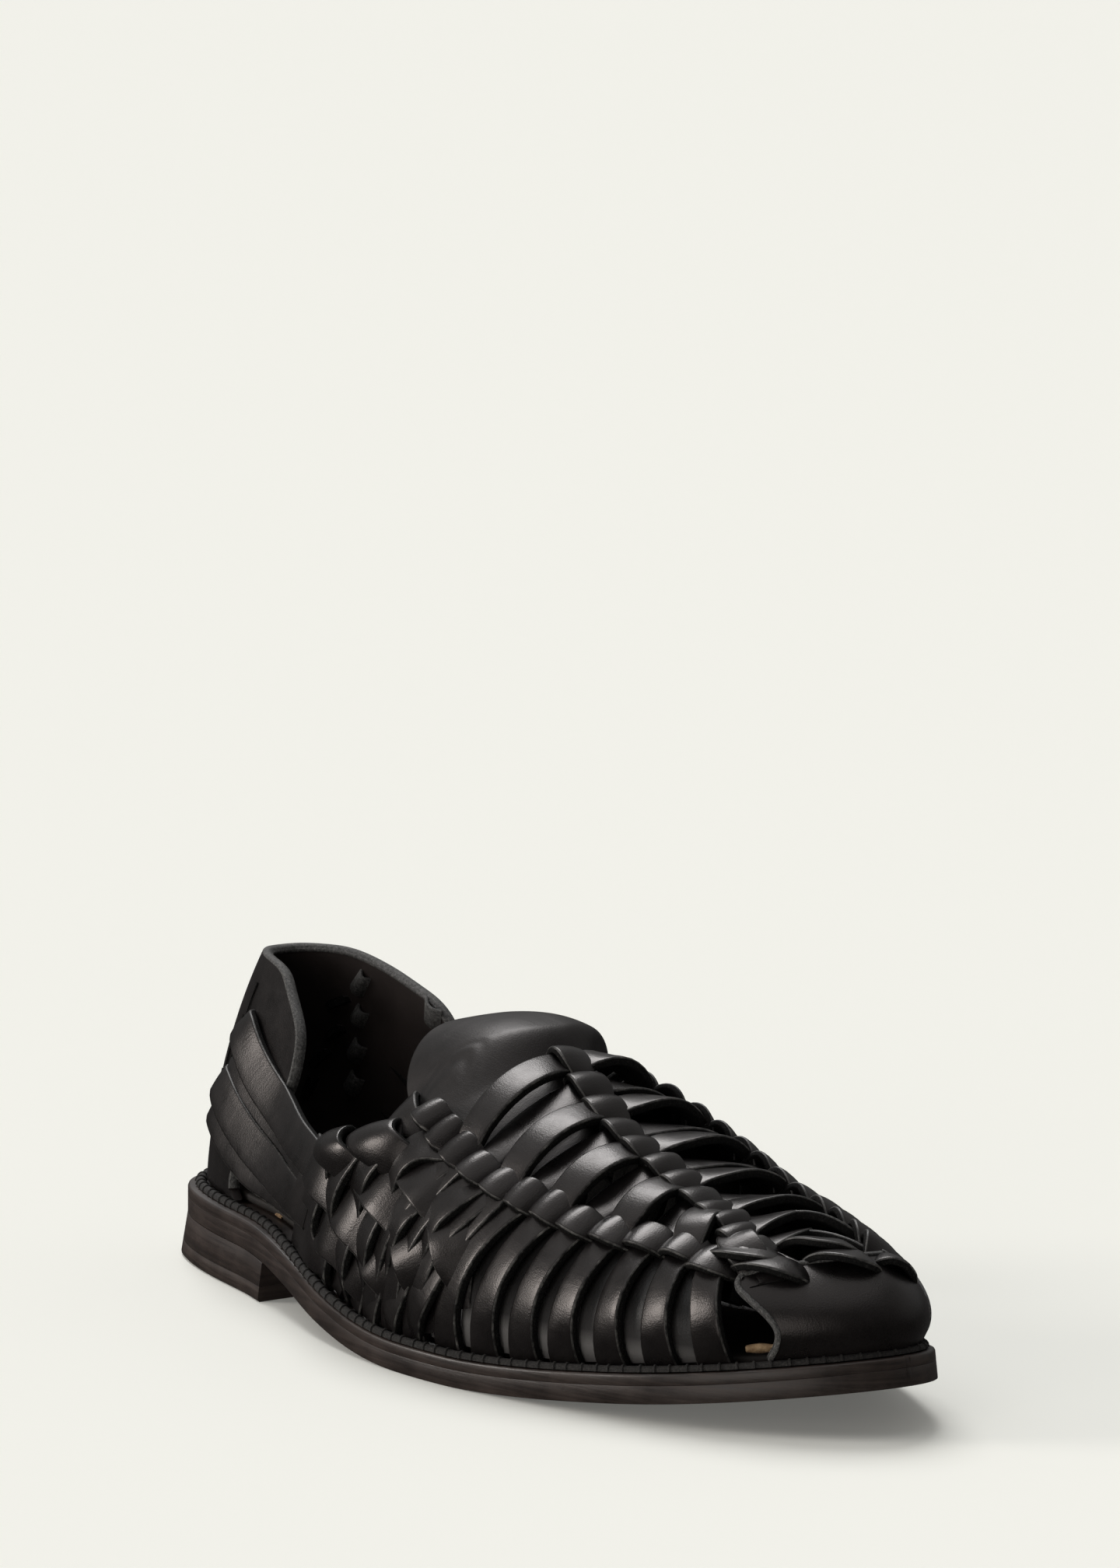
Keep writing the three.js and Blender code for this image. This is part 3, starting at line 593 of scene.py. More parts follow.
def footbed():
    """The insole: dark matt leather."""
    stops = [(0.3, (0.014, 0.012, 0.011)), (0.75, (0.035, 0.028, 0.023))]
    return mottled("footbed_leather", 0.65, (90, 5), stops, [((1500, 4), 0.3, 0.15)])


def raw_tan():
    stops = [(0.3, (0.2, 0.11, 0.05)), (0.7, (0.55, 0.38, 0.22))]
    return mottled("raw_tan_leather", 0.85, (700, 5, 0.7), stops, [((1600, 4), 0.8, 0.4)])


# Heights between which painted shade darkens the lining, in metres
LINING_SHADE_FOOT = 0.017
LINING_SHADE_TOP = 0.036


def lining():
    """The grey flesh side of the inner strips with painted light and shade: pale grey near the sole, partly its
    own grey and partly painted light, and darkened by painted shade above.
    """
    made, tree, shader = material("grey_lining_painted_light_and_shade", Roughness=0.4)
    split = add_node(tree, "ShaderNodeSeparateXYZ", Vector=place_node(tree).outputs["Object"])
    height = add_node(tree, "ShaderNodeMapRange", Value=split.outputs["Z"], From_Min=LINING_SHADE_FOOT,
                      From_Max=LINING_SHADE_TOP)
    # Painted light near the sole, fading into painted shade higher up
    stops = [(0.0, (0.2, 0.19, 0.188)), (0.22, (0.05, 0.047, 0.047)), (0.7, (0.012, 0.0112, 0.0112))]
    set_inputs(tree, shader, Base_Color=ramp(tree, height.outputs["Result"], stops),
               Normal=bump(tree, noise(tree, 1300, 4), 0.4, 0.2))
    return made


def burnished(name, dark, light):
    """A burnished sole edge: dark brown wax over fine level grain."""
    made, tree, shader = material(name, Coat_Weight=0.15, Coat_Roughness=0.25)
    streaks = noise(tree, 1.0, 6, 0.65, 0.4, stretched(tree, "Object", (28, 28, 900)))
    both = add_node(tree, "ShaderNodeMath", Value=streaks)
    both.operation = "ADD"
    tree.links.new(noise(tree, 70, 5, 0.6), both.inputs[1])
    half = add_node(tree, "ShaderNodeMath", Value=both.outputs["Value"])
    half.operation = "MULTIPLY"
    half.inputs[1].default_value = 0.5
    tone = half.outputs["Value"]
    fine = bump(tree, noise(tree, 1200, 4), 0.25, 0.15)
    set_inputs(tree, shader, Base_Color=ramp(tree, tone, [(0.36, dark), (0.66, light)]),
               Roughness=ramp(tree, tone, [(0.35, 0.3), (0.65, 0.5)]),
               Normal=bump(tree, streaks, 0.35, 0.2, fine))
    return made


PAPER = (0.872, 0.871, 0.82)
# How much the floor glows: painted light, no lamp, that lightens the shadow under the shoe and lights its
# underside
PAINTED_FLOOR_GLOW = 0.13


def floor_paper():
    paper = (*PAPER, 1)
    # The floor's emission is painted fill light
    return material("pale_floor", Roughness=0.9, Base_Color=paper, Specular_IOR_Level=0.1,
                    Emission_Color=paper, Emission_Strength=PAINTED_FLOOR_GLOW)[0]


# Camera, floor and light

CAMERA_AZIMUTH = math.radians(36)
CAMERA_ELEVATION = math.radians(12)
CAMERA_ROLL = math.radians(0.4713)
CAMERA_DISTANCE = 2500.0
CAMERA_TARGET = (150.0, 0.0, 35.0)
FOCAL_PIXELS = 11945.6
PHOTO_SIZE = (1440, 2016)
TARGET_PIXEL = (687.4, 1553.2)
SENSOR_HEIGHT = 36.0


def place_camera():
    """The photo's view; the camera is turned, not shifted, so that its target lies low in the frame."""
    flat = math.cos(CAMERA_ELEVATION)
    back = Vector((flat * math.cos(CAMERA_AZIMUTH), -flat * math.sin(CAMERA_AZIMUTH),
                   math.sin(CAMERA_ELEVATION)))
    eye = Vector(CAMERA_TARGET) + back * CAMERA_DISTANCE
    level = (-back).cross(Vector((0, 0, 1))).normalized()
    upright = level.cross(-back)
    right = level * math.cos(CAMERA_ROLL) + upright * math.sin(CAMERA_ROLL)
    up = upright * math.cos(CAMERA_ROLL) - level * math.sin(CAMERA_ROLL)
    aside = (PHOTO_SIZE[0] / 2 - TARGET_PIXEL[0]) / FOCAL_PIXELS
    above = (TARGET_PIXEL[1] - PHOTO_SIZE[1] / 2) / FOCAL_PIXELS
    forward = (-back + right * aside + up * above).normalized()
    right = forward.cross(up).normalized()
    up = right.cross(forward)
    data = bpy.data.cameras.new("photo_camera")
    data.sensor_fit = "VERTICAL"
    data.sensor_height = SENSOR_HEIGHT
    data.lens = FOCAL_PIXELS / PHOTO_SIZE[1] * SENSOR_HEIGHT
    camera = bpy.data.objects.new("photo_camera", data)
    turn = Matrix((right, up, -forward)).transposed().to_4x4()
    camera.matrix_world = Matrix.Translation(Vector(in_frame(eye))) @ turn
    bpy.context.scene.collection.objects.link(camera)
    bpy.context.scene.camera = camera


FLOOR_HALF = 30.0


def lay_floor():
    mesh = bpy.data.meshes.new("floor")
    signs = [(-1, -1), (1, -1), (1, 1), (-1, 1)]
    mesh.from_pydata([(x * FLOOR_HALF, y * FLOOR_HALF, 0) for x, y in signs], [], [(0, 1, 2, 3)])
    mesh.materials.append(floor_paper())
    floor = bpy.data.objects.new("floor", mesh)
    bpy.context.scene.collection.objects.link(floor)
    floor.visible_glossy = False


def sun(name, azimuth_deg, elevation_deg, strength, angle_deg, colour=(1, 1, 1)):
    """A wide soft lamp far away; its azimuth runs from +X towards +Y."""
    data = bpy.data.lights.new(name, "SUN")
    data.energy = strength
    data.angle = math.radians(angle_deg)
    data.color = colour
    lamp = bpy.data.objects.new(name, data)
    azimuth = math.radians(azimuth_deg)
    elevation = math.radians(elevation_deg)
    flat = math.cos(elevation)
    towards = Vector((flat * math.cos(azimuth), flat * math.sin(azimuth), math.sin(elevation)))
    lamp.rotation_euler = towards.to_track_quat("Z", "Y").to_euler()
    bpy.context.scene.collection.objects.link(lamp)


# How much of the sky's light is left in the direction of the camera
FRONT_SHADE = 0.1


def light_studio():
    """A pale studio whose sky is dark behind the camera, with soft lamps from behind and beside the shoe."""
    world = bpy.data.worlds.new("studio")
    bpy.context.scene.world = world
    world.use_nodes = True
    tree = world.node_tree
    direction = place_node(tree).outputs["Generated"]
    height = add_node(tree, "ShaderNodeSeparateXYZ", Vector=direction).outputs["Z"]
    stops = [(0.0, (0.045, 0.043, 0.042)), (0.08, (0.12, 0.12, 0.118)), (0.5, (0.27, 0.27, 0.265))]
    sky = ramp(tree, height, stops)
    facing = add_node(tree, "ShaderNodeVectorMath", Vector=direction)
    facing.operation = "DOT_PRODUCT"
    facing.inputs[1].default_value = (math.cos(CAMERA_AZIMUTH), -math.sin(CAMERA_AZIMUTH), 0)
    dimmed = add_node(tree, "ShaderNodeMapRange", Value=facing.outputs["Value"], To_Min=1.0,
                      To_Max=FRONT_SHADE)
    shaded = add_node(tree, "ShaderNodeVectorMath", Vector=sky)
    shaded.operation = "SCALE"
    tree.links.new(dimmed.outputs["Result"], shaded.inputs["Scale"])
    tree.links.new(shaded.outputs["Vector"], tree.nodes["Background"].inputs["Color"])
    sun("key", 158, 55, 1.6, 30)
    sun("top", 240, 75, 0.42, 70)
    sun("side", 230, 18, 1.1, 22, (1.0, 0.95, 0.9))
    sun("front", 290, 10, 0.5, 40, (1.0, 0.96, 0.92))
    bpy.context.scene.view_settings.view_transform = "Standard"


BLACK = leather_grain("black_leather", 0.25, 0.38)
SOFT_BLACK = leather_grain("soft_black_leather", 0.36, 0.5, level=0.4)
CUT = leather_edge()
RIM = rim_edge()
# The arris slot carries wear and a painted highlight
STRAP_MATERIALS = [BLACK, CUT, arris_wear_and_painted_highlight()]

# Straps of the upper

# Cross straps, heel to toe, as shares of length: where each leaves the sole or the toe cap and at what
# height share, passes the side ridges and passes the crest; and whether it arches up or dips between the
# ridges
CROSS = table("foot start ridge crest raised", [
    (0.487, 0, 0.557, 0.553, 1),
    (0.523, 0, 0.588, 0.587, 0),
    (0.56, 0, 0.622, 0.62, 1),
    (0.608, 0, 0.652, 0.655, 0),
    (0.657, 0, 0.684, 0.682, 1),
    (0.703, 0, 0.716, 0.711, 0),
    (0.748, 0, 0.75, 0.739, 1),
    (0.797, 0, 0.785, 0.77, 0),
    (0.848, 0, 0.832, 0.803, 1),
    (0.895, 0, 0.873, 0.84, 0),
    (0.93, 0.42, 0.915, 0.872, 1),
    (0.95, 0.5, 0.95, 0.905, 0),
])

# Height share of the side ridges and of the centre ridge along the foot
RIDGE = table("at side centre", [
    (0.5, 0.537, 0.97),
    (0.56, 0.512, 0.955),
    (0.62, 0.504, 0.917),
    (0.66, 0.508, 0.895),
    (0.72, 0.53, 0.885),
    (0.79, 0.57, 0.85),
    (0.845, 0.567, 0.8),
    (0.885, 0.521, 0.7),
    (0.942, 0.5, 0.6),
])
side_ridge = curve(RIDGE, "side")
centre_ridge = curve(RIDGE, "centre")
MEDIAL_RISE = 0.13
MEDIAL_START = 0.5
MEDIAL_RAMP = 0.08


def medial_ridge(share):
    """The medial ridge sits higher than the lateral one, nearer the crest."""
    return side_ridge(share) + MEDIAL_RISE * ease((share - MEDIAL_START) / MEDIAL_RAMP)


FOOT_RISE = 0.012
FOOT_WIDTH = 9.6
RIDGE_WIDTH = 8.0
CROSS_WIDTH = 10.4
CROSS_THICKNESS = 2.5
ARCH = {-1: 3.4, 1: 1.8}
CROSS_SAG = 1.4
RIDGE_SINK = -0.6
BAND_ROLL = 15
ARCH_ROLL = {-1: 9, 1: 26}
BAND_SWEEP = 2.2
HALF_STOPS = 7


def cross_stops(row, side):
    """Stops of one half of a cross strap, from the sole or the toe cap to the centre ridge."""
    ridge_rise = float((side_ridge if side < 0 else medial_ridge)(row["ridge"]))
    centre = -(1 - float(centre_ridge(row["crest"])))
    stops = []
    for t in np.linspace(0, 1, HALF_STOPS):
        share = mix(row["foot"], row["ridge"], (ease(t) + t ** BAND_SWEEP) / 2)
        across = side * (1 - mix(max(row["start"], FOOT_RISE), ridge_rise, t))
        width = mix(FOOT_WIDTH, RIDGE_WIDTH, t)
        stops.append((share, across, RIDGE_SINK * t ** 3, width, BAND_ROLL * math.sin(math.pi * t)))
    for t in np.linspace(0, 1, HALF_STOPS)[1:]:
        swing = math.sin(math.pi * t)
        lift = RIDGE_SINK + (ARCH[side] if row["raised"] else -CROSS_SAG) * swing
        share = mix(row["ridge"], row["crest"], ease(t))
        across = mix(side * (1 - ridge_rise), centre, t)
        stops.append((share, across, lift, mix(RIDGE_WIDTH, CROSS_WIDTH, swing), ARCH_ROLL[side] * swing))
    return stops


def cross_straps():
    sketch = Sketch()
    for k in range(len(CROSS["foot"])):
        row = {name: float(column[k]) for name, column in CROSS.items()}
        stops = cross_stops(row, -1) + cross_stops(row, 1)[-2::-1]
        strap(sketch, stops, samples=90, thickness=CROSS_THICKNESS)
    piece("cross_straps", sketch, STRAP_MATERIALS)


def wander(k, spread):
    """A small fixed unevenness for the k-th of many."""
    return spread * math.sin(k * 12.9898 + 4.1414 * (k % 3))


LACE_THICKNESS = 1.9
LACE_CROWN = 2.4
LACE_SHIFT = -0.01
LACE_ROLL = 13
# How far the knots wander from each other: across, in roll, in lift and in width
WANDERS = (0.008, 6, 0.3, 0.5)
# Stops of a knot: share of the pitch along the lace, lift and width
KNOT = [(-0.64, -2.6, 6), (-0.52, -0.6, 7.4), (-0.36, 1.5, 9), (-0.12, 2.5, 10.2), (0.14, 2.0, 10.4),
        (0.38, 0.7, 9), (0.56, -0.8, 7.4), (0.7, -2.6, 6)]
# The share of its run over which a knot follows the ridge's rise, and how fast its roll fades to its ends
KNOT_LEAD = 0.35
ROLL_FADE = 1.3
# Knots of the side laces over the cross straps, and the two knots of each before the first of them
KNOTS = {-1: 10, 1: 12}
FIRST_KNOTS = [0.503, 0.53]


def knot(sketch, share, pitch, across_at, side, k):
    """One arch of a lace over a cross strap, steep at the back and long at the front; k picks how it wanders."""
    aside = LACE_SHIFT + wander(k, WANDERS[0])
    stops = []
    for along, lift, width in KNOT:
        across = side * (1 - float(across_at(share + KNOT_LEAD * along * pitch)))
        roll = (LACE_ROLL + wander(k + 3, WANDERS[1])) * max(0.0, 1 - abs(along) * ROLL_FADE)
        lifted = lift + wander(k + 7, WANDERS[2]) * (lift > 0)
        width = width + wander(k + 5, WANDERS[3])
        stops.append((share + along * pitch, across + aside * (1 - abs(along)), lifted, width, roll))
    strap(sketch, stops, samples=26, thickness=LACE_THICKNESS, crown=LACE_CROWN)


def laces():
    for name, side, kind, across_at in [
        ("lateral_lace", -1, "ridge", side_ridge), ("centre_lace", -1, "crest", centre_ridge),
        ("medial_lace", 1, "ridge", medial_ridge),
    ]:
        sketch = Sketch()
        stations = list(CROSS[kind])
        if kind == "ridge":
            stations = FIRST_KNOTS + stations[:KNOTS[side]]
        for k, (share, pitch) in enumerate(zip(stations, np.gradient(stations))):
            pair = k + k % 2
            knot(sketch, share, pitch, across_at, side, pair)
        piece(name, sketch, STRAP_MATERIALS)


STRIPS = 9
STRIP_TOP = 0.56
STRIP_LIFT = -2.3
STRIP_WIDTH = 9.5
STRIP_THICKNESS = 1.6


def inner_strips():
    """The lining strips that show grey in the gaps between the side bands."""
    sketch = Sketch()
    feet = CROSS["foot"]
    ridges = CROSS["ridge"]
    for side in (-1, 1):
        for k in range(STRIPS):
            foot = mix(feet[k], feet[k + 1], 0.55)
            ridge = mix(ridges[k], ridges[k + 1], 0.5)
            stops = []
            for t in np.linspace(0, 1, 6):
                across = side * (1 - mix(FOOT_RISE, STRIP_TOP, t))
                stops.append((mix(foot, ridge, ease(t)), across, STRIP_LIFT, STRIP_WIDTH))
            strap(sketch, stops, samples=24, thickness=STRIP_THICKNESS)
    flesh = lining()
    piece("inner_strips", sketch, [flesh, CUT, flesh])


# Quarter straps that climb from the sole, toe to heel: turn and height share of their stops
CLIMBS = [
    [(0.538, 0.012), (0.542, 0.075), (0.552, 0.16), (0.56, 0.25), (0.567, 0.33), (0.575, 0.41),
     (0.581, 0.49)],
    [(0.515, 0.012), (0.519, 0.07), (0.527, 0.15), (0.536, 0.24), (0.543, 0.32), (0.553, 0.4),
     (0.562, 0.48)],
    [(0.492, 0.012), (0.495, 0.07), (0.502, 0.16), (0.511, 0.25), (0.521, 0.33), (0.533, 0.42),
     (0.543, 0.5)],
    [(0.47, 0.012), (0.474, 0.07), (0.481, 0.15), (0.486, 0.24), (0.49, 0.32), (0.498, 0.4), (0.51, 0.46),
     (0.527, 0.5)],
    [(0.449, 0.012), (0.453, 0.07), (0.458, 0.14), (0.461, 0.22), (0.466, 0.3), (0.474, 0.37),
     (0.486, 0.43)],
    [(0.424, 0.012), (0.427, 0.06), (0.43, 0.12), (0.434, 0.19), (0.44, 0.26), (0.448, 0.33)],
    [(0.402, 0.012), (0.403, 0.05), (0.405, 0.1), (0.409, 0.16), (0.414, 0.225), (0.42, 0.27)],
]

# Quarter straps that fall towards the toe, top to bottom; the first two fold over the topline
FALLS = [
    [(0.5, 0.4), (0.53, 0.375), (0.551, 0.335), (0.565, 0.275), (0.575, 0.2), (0.58, 0.12)],
    [(0.467, 0.305), (0.492, 0.297), (0.512, 0.277), (0.529, 0.23), (0.541, 0.165), (0.549, 0.09),
     (0.552, 0.03)],
    [(0.385, 0.225), (0.41, 0.215), (0.436, 0.207), (0.46, 0.197), (0.483, 0.178), (0.5, 0.143),
     (0.512, 0.095), (0.52, 0.03)],
    [(0.365, 0.13), (0.392, 0.122), (0.417, 0.122), (0.445, 0.118), (0.467, 0.093), (0.482, 0.06),
     (0.49, 0.02)],
    [(0.36, 0.062), (0.382, 0.066), (0.405, 0.066), (0.43, 0.05), (0.45, 0.018)],
]
# Loops over the topline that lead into the first two falls: both ends of the fold and of the line where the
# loop dips under the weave, as turn and height share
LOOPS = [
    ((0.44, 0.32), (0.4767, 0.4375), (0.483, 0.34), (0.498, 0.44)),
    ((0.4017, 0.255), (0.4317, 0.322), (0.44, 0.25), (0.453, 0.325)),
]
# How a loop runs over the topline: moves in turn and height share from the fold, and lift
FOLD = [(-0.012, -0.13, -3.2), (-0.006, -0.05, -3.5), (-0.002, 0.0, -2.8), (0.0, 0.018, -1.0),
        (0.001, 0.01, 1.2)]
# The same towards the weave: share of the way and lift
LOOP_FALL = [(0.3, 2.9), (0.65, 2.6), (1.0, 0.8), (1.3, -1.9)]
LOOP_CROWN = 0.9
LOOP_THICKNESS = 1.9
LOOP_GRID = (40, 11)
WEAVE_STEPS = 64
OVER = 1.05
CROSSING_REACH = 4.0


def weave_path(stops):
    """A quarter strap's stops, spaced evenly along its run."""
    stops = np.array(stops, float)
    places = form_point(stops[:, 0], -(1 - stops[:, 1]))
    knots = run_along(places)
    return spline(knots, stops, np.linspace(0, knots[-1], WEAVE_STEPS))


def crossing_lifts(paths, others, odd_over):
    """For each path, where along it the other straps cross it and its lift there, over or under them."""
    lifts = []
    for k, path in enumerate(paths):
        own = form_point(path[:, 0], -(1 - path[:, 1]))
        found = []
        for n, other in enumerate(others):
            apart = np.linalg.norm(own[:, None] - form_point(other[:, 0], -(1 - other[:, 1])), axis=-1)
            if apart.min() < CROSSING_REACH:
                where = np.unravel_index(apart.argmin(), apart.shape)[0]
                over = (k + n) % 2 == odd_over
                found.append((where / (WEAVE_STEPS - 1), OVER if over else -OVER))
        lifts.append(sorted(found))
    return lifts


def topline_loop(sketch, back, front, back_end, front_end, side):
    """A strap folded over the topline from inside the shoe."""
    columns = []
    for b in np.linspace(0, 1, LOOP_GRID[1]):
        fold = mix(np.array(back), np.array(front), b)
        end = mix(np.array(back_end), np.array(front_end), b)
        crown = LOOP_CROWN * (1 - (2 * b - 1) ** 2)
        stops = [(fold[0] + turn, fold[1] + rise, lift + crown) for turn, rise, lift in FOLD]
        stops += [(*mix(fold, end, way), lift + crown) for way, lift in LOOP_FALL]
        turn, rise, lift = np.array(stops).T
        line = lifted_point(turn, side * (1 - rise), lift)
        knots = run_along(line)
        columns.append(spline(knots, line, np.linspace(0, knots[-1], LOOP_GRID[0])))
    grid = np.stack(columns, 1)
    normals = -side * unit(np.cross(np.gradient(grid, axis=0), np.gradient(grid, axis=1)))
    sketch.shell(grid, normals, LOOP_THICKNESS, rim_round=0.4)


CLIMB_WIDTH = 11.0
FALL_WIDTH = 12.5
WEAVE_THICKNESS = 2.2
WEAVE_ROLL = 13
# A strap's width at its end in the sole or under a neighbour, as a share, and how far that narrowing reaches
FOOT_SHARE = 0.85
TAIL_SHARE = 0.4
FOOT_REACH = 0.3
FOOT_LIFT = 0.2
TAIL_DIP = 1.2
# Past its outermost crossing a strap swings the other way, by this share; nothing is added nearer to an end
# than END_GAP of its run
END_SWING = 0.6
END_GAP = 0.04


def woven_strap(sketch, path, found, side, width, climbs):
    """One strap of the weave, rising and dipping at its crossings, narrower at its foot."""
    at = np.linspace(0, 1, WEAVE_STEPS)
    places, heights = map(list, zip(*found))
    if places[0] > END_GAP:
        places.insert(0, 0.0)
        heights.insert(0, FOOT_LIFT if climbs else -heights[0] * END_SWING)
    if places[-1] < 1 - END_GAP:
        places.append(1.0)
        heights.append(-heights[-1] * END_SWING)
    knots = np.array(places) + np.arange(len(places)) * 1e-4
    lift = spline(knots, np.array(heights)[:, None], at)[:, 0]
    narrow = 1 - ease((at if climbs else 1 - at) / FOOT_REACH)
    widths = width * mix(1, FOOT_SHARE if climbs else TAIL_SHARE, narrow)
    if not climbs:
        lift = lift - TAIL_DIP * narrow
    roll = np.full(WEAVE_STEPS, -side * WEAVE_ROLL)
    rows = np.column_stack([share_of(path[:, 0]), side * (1 - path[:, 1]), lift, widths, roll])
    picks = np.linspace(0, WEAVE_STEPS - 1, 22).astype(int)
    strap(sketch, rows[picks], samples=70, thickness=WEAVE_THICKNESS)


def quarter_weave():
    climbs = [weave_path(stops) for stops in CLIMBS]
    falls = [weave_path(stops) for stops in FALLS]
    climb_lifts = crossing_lifts(climbs, falls, odd_over=True)
    fall_lifts = crossing_lifts(falls, climbs, odd_over=False)
    for side, name in [(-1, "lateral_weave"), (1, "medial_weave")]:
        sketch = Sketch()
        for path, found in zip(climbs, climb_lifts):
            woven_strap(sketch, path, found, side, CLIMB_WIDTH, climbs=True)
        for path, found in zip(falls, fall_lifts):
            woven_strap(sketch, path, found, side, FALL_WIDTH, climbs=False)
        for ends in LOOPS:
            topline_loop(sketch, *ends, side)
        piece(name, sketch, STRAP_MATERIALS)


# Straps from the counter's slits to the weave: turn, height share, lift and width of their stops
BACK_STRAPS = [
    [(0.17, 0.4, -2.5, 8), (0.183, 0.385, 2.4, 10), (0.205, 0.372, 3.8, 11), (0.25, 0.325, 3.4, 11.5),
     (0.3, 0.277, 2.4, 11.5), (0.35, 0.24, 1.4, 11), (0.4, 0.216, -0.2, 11)],
    [(0.165, 0.33, -2.5, 8), (0.18, 0.315, 0.4, 9), (0.2, 0.298, 1.0, 10), (0.27, 0.238, 0.2, 11),
     (0.32, 0.192, -0.4, 11), (0.375, 0.165, -1.2, 11), (0.41, 0.15, -1.8, 11)],
    [(0.15, 0.27, -2.5, 8), (0.163, 0.26, 2.4, 9), (0.188, 0.246, 3.6, 10.5), (0.243, 0.2, 3.2, 11),
     (0.3, 0.152, 2.4, 11), (0.347, 0.125, 1.4, 10.5), (0.39, 0.11, -0.2, 10)],
    [(0.135, 0.205, -2.5, 8), (0.15, 0.2, 1.4, 9.5), (0.18, 0.185, 1.8, 11), (0.225, 0.15, 0.8, 12),
     (0.275, 0.115, 0.0, 12), (0.33, 0.1, -0.8, 11), (0.39, 0.1, -1.6, 10)],
]


BACK_THICKNESS = 2.2
BACK_ROLL = 14
# The slit that each strap comes out of: its place against the strap's first two stops, its lean in turn, its
# lift, how far it passes the strap's sides, and the length of a wall from the sole to the crest
SLIT_PLACE = -0.25
SLIT_LEAN = 0.004
SLIT_LIFT = 1.5
SLIT_MARGIN = 1
SLIT_WIDTH = 1.5
SLIT_THICKNESS = 1.0
SIDE_GIRTH = 90


def back_straps():
    for side, name in [(-1, "lateral_back_straps"), (1, "medial_back_straps")]:
        sketch = Sketch()
        for stops in BACK_STRAPS:
            rows = [(share_of(turn), side * (1 - rise), lift, width, -side * BACK_ROLL)
                    for turn, rise, lift, width in stops]
            strap(sketch, rows, samples=50, thickness=BACK_THICKNESS)
        piece(name, sketch, STRAP_MATERIALS)
    counter_slits()


def counter_slits():
    sketch = Sketch()
    for side in (-1, 1):
        for stops in BACK_STRAPS:
            turn, rise = mix(np.array(stops[0][:2]), np.array(stops[1][:2]), SLIT_PLACE)
            reach = (stops[1][3] / 2 + SLIT_MARGIN) / SIDE_GIRTH
            rows = []
            for t in (-1, -0.5, 0, 0.5, 1):
                across = side * (1 - rise - reach * t)
                rows.append((share_of(turn - t * SLIT_LEAN), across, SLIT_LIFT, SLIT_WIDTH - abs(t)))
            strap(sketch, rows, samples=14, thickness=SLIT_THICKNESS)
    piece("counter_slits", sketch, [CUT, CUT, CUT])


# Counter and toe cap

# Rim of the counter: height above the floor along each wing, from the back to its front end
COUNTER_RIM = {
    -1: table("at height", [(0, 86.5), (0.3, 86.8), (0.6, 86.2), (0.72, 84.5), (0.8, 81), (0.88, 77),
                            (0.95, 72.5), (0.985, 68), (1, 63)]),
    1: table("at height", [(0, 86.5), (0.3, 86.8), (0.5, 86.5), (0.7, 83.5), (0.85, 80), (0.93, 77.5),
                           (0.975, 74), (1, 69)]),
}
# Front edge of both wings: share of the length along the way up
COUNTER_FRONT = {
    -1: table("at share", [(0, 0.135), (0.12, 0.12), (0.3, 0.13), (0.45, 0.155), (0.7, 0.195), (0.88, 0.21),
                           (1, 0.21)]),
    1: table("at share", [(0, 0.167), (0.12, 0.155), (0.3, 0.16), (0.5, 0.195), (0.75, 0.255), (0.9, 0.278),
                          (1, 0.282)]),
}
COUNTER_THICKNESS = 3.0
COUNTER_LIFT = -0.8
COUNTER_GRID = (40, 141)
# Ends of straps that show inside the counter, on its medial side: turn, height share and width
SLIT_ENDS = [(0.205, 0.465, 8), (0.207, 0.385, 6), (0.205, 0.305, 6.5), (0.202, 0.232, 6.5),
             (0.33, 0.455, 7)]
# How such an end runs: its moves in turn and downwards, and its lift
SLIT_END_RUN = [(-0.009, -1.0), (-0.005, -2.0), (0.001, -2.7), (0.008, -2.5), (0.014, -1.0)]
HALVINGS = 24


def rise_of_height(turn, side, height):
    """The height share on the last of a height above the floor, found by halving."""
    low = np.zeros_like(turn)
    high = np.ones_like(turn)
    for _ in range(HALVINGS):
        middle = (low + high) / 2
        short = side_point(turn, middle, side)[..., 2] < height
        low = np.where(short, middle, low)
        high = np.where(short, high, middle)
    return (low + high) / 2


def counter():
    sketch = Sketch()
    spread = np.sin(np.linspace(-np.pi / 2, np.pi / 2, COUNTER_GRID[1]))
    up = np.sin(np.linspace(0, np.pi / 2, COUNTER_GRID[0]))[:, None]
    t = np.abs(spread)
    halves = {}
    for side in (-1, 1):
        tall = curve(COUNTER_RIM[side], "height")(t)
        turn = turn_of(curve(COUNTER_FRONT[side], "share")(up)) * t
        top = rise_of_height(turn, side, np.broadcast_to(tall, turn.shape))
        halves[side] = (turn, side * (1 - mix(FOOT_RISE, top, up)))
    turn = np.where(spread < 0, halves[-1][0], halves[1][0])
    across = np.where(spread < 0, halves[-1][1], halves[1][1])
    grid = form_point(turn, across)
    normals = form_normal(turn, across)
    sketch.shell(grid, normals, COUNTER_THICKNESS, rim_round=0.6, lift=COUNTER_LIFT)
    piece("heel_counter", sketch, [BLACK, counter_lining()])
    raw_rim("counter_rim", grid, normals, middle=COUNTER_THICKNESS / 2 + COUNTER_LIFT,
            width=COUNTER_THICKNESS + 0.2, thickness=1.2)


def slit_ends():
    """The rough ends of the back straps where they come through the counter's slits."""
    sketch = Sketch()
    for turn, rise, width in SLIT_ENDS:
        rows = [(share_of(turn + move), 1 - rise + move, lift, width) for move, lift in SLIT_END_RUN]
        strap(sketch, rows, samples=20, thickness=SLIT_THICKNESS)
    piece("slit_ends", sketch, [RIM, RIM, RIM])


RIM_SAMPLES = 260
RIM_SMOOTHING = 6
RIM_CROWN = 2.0


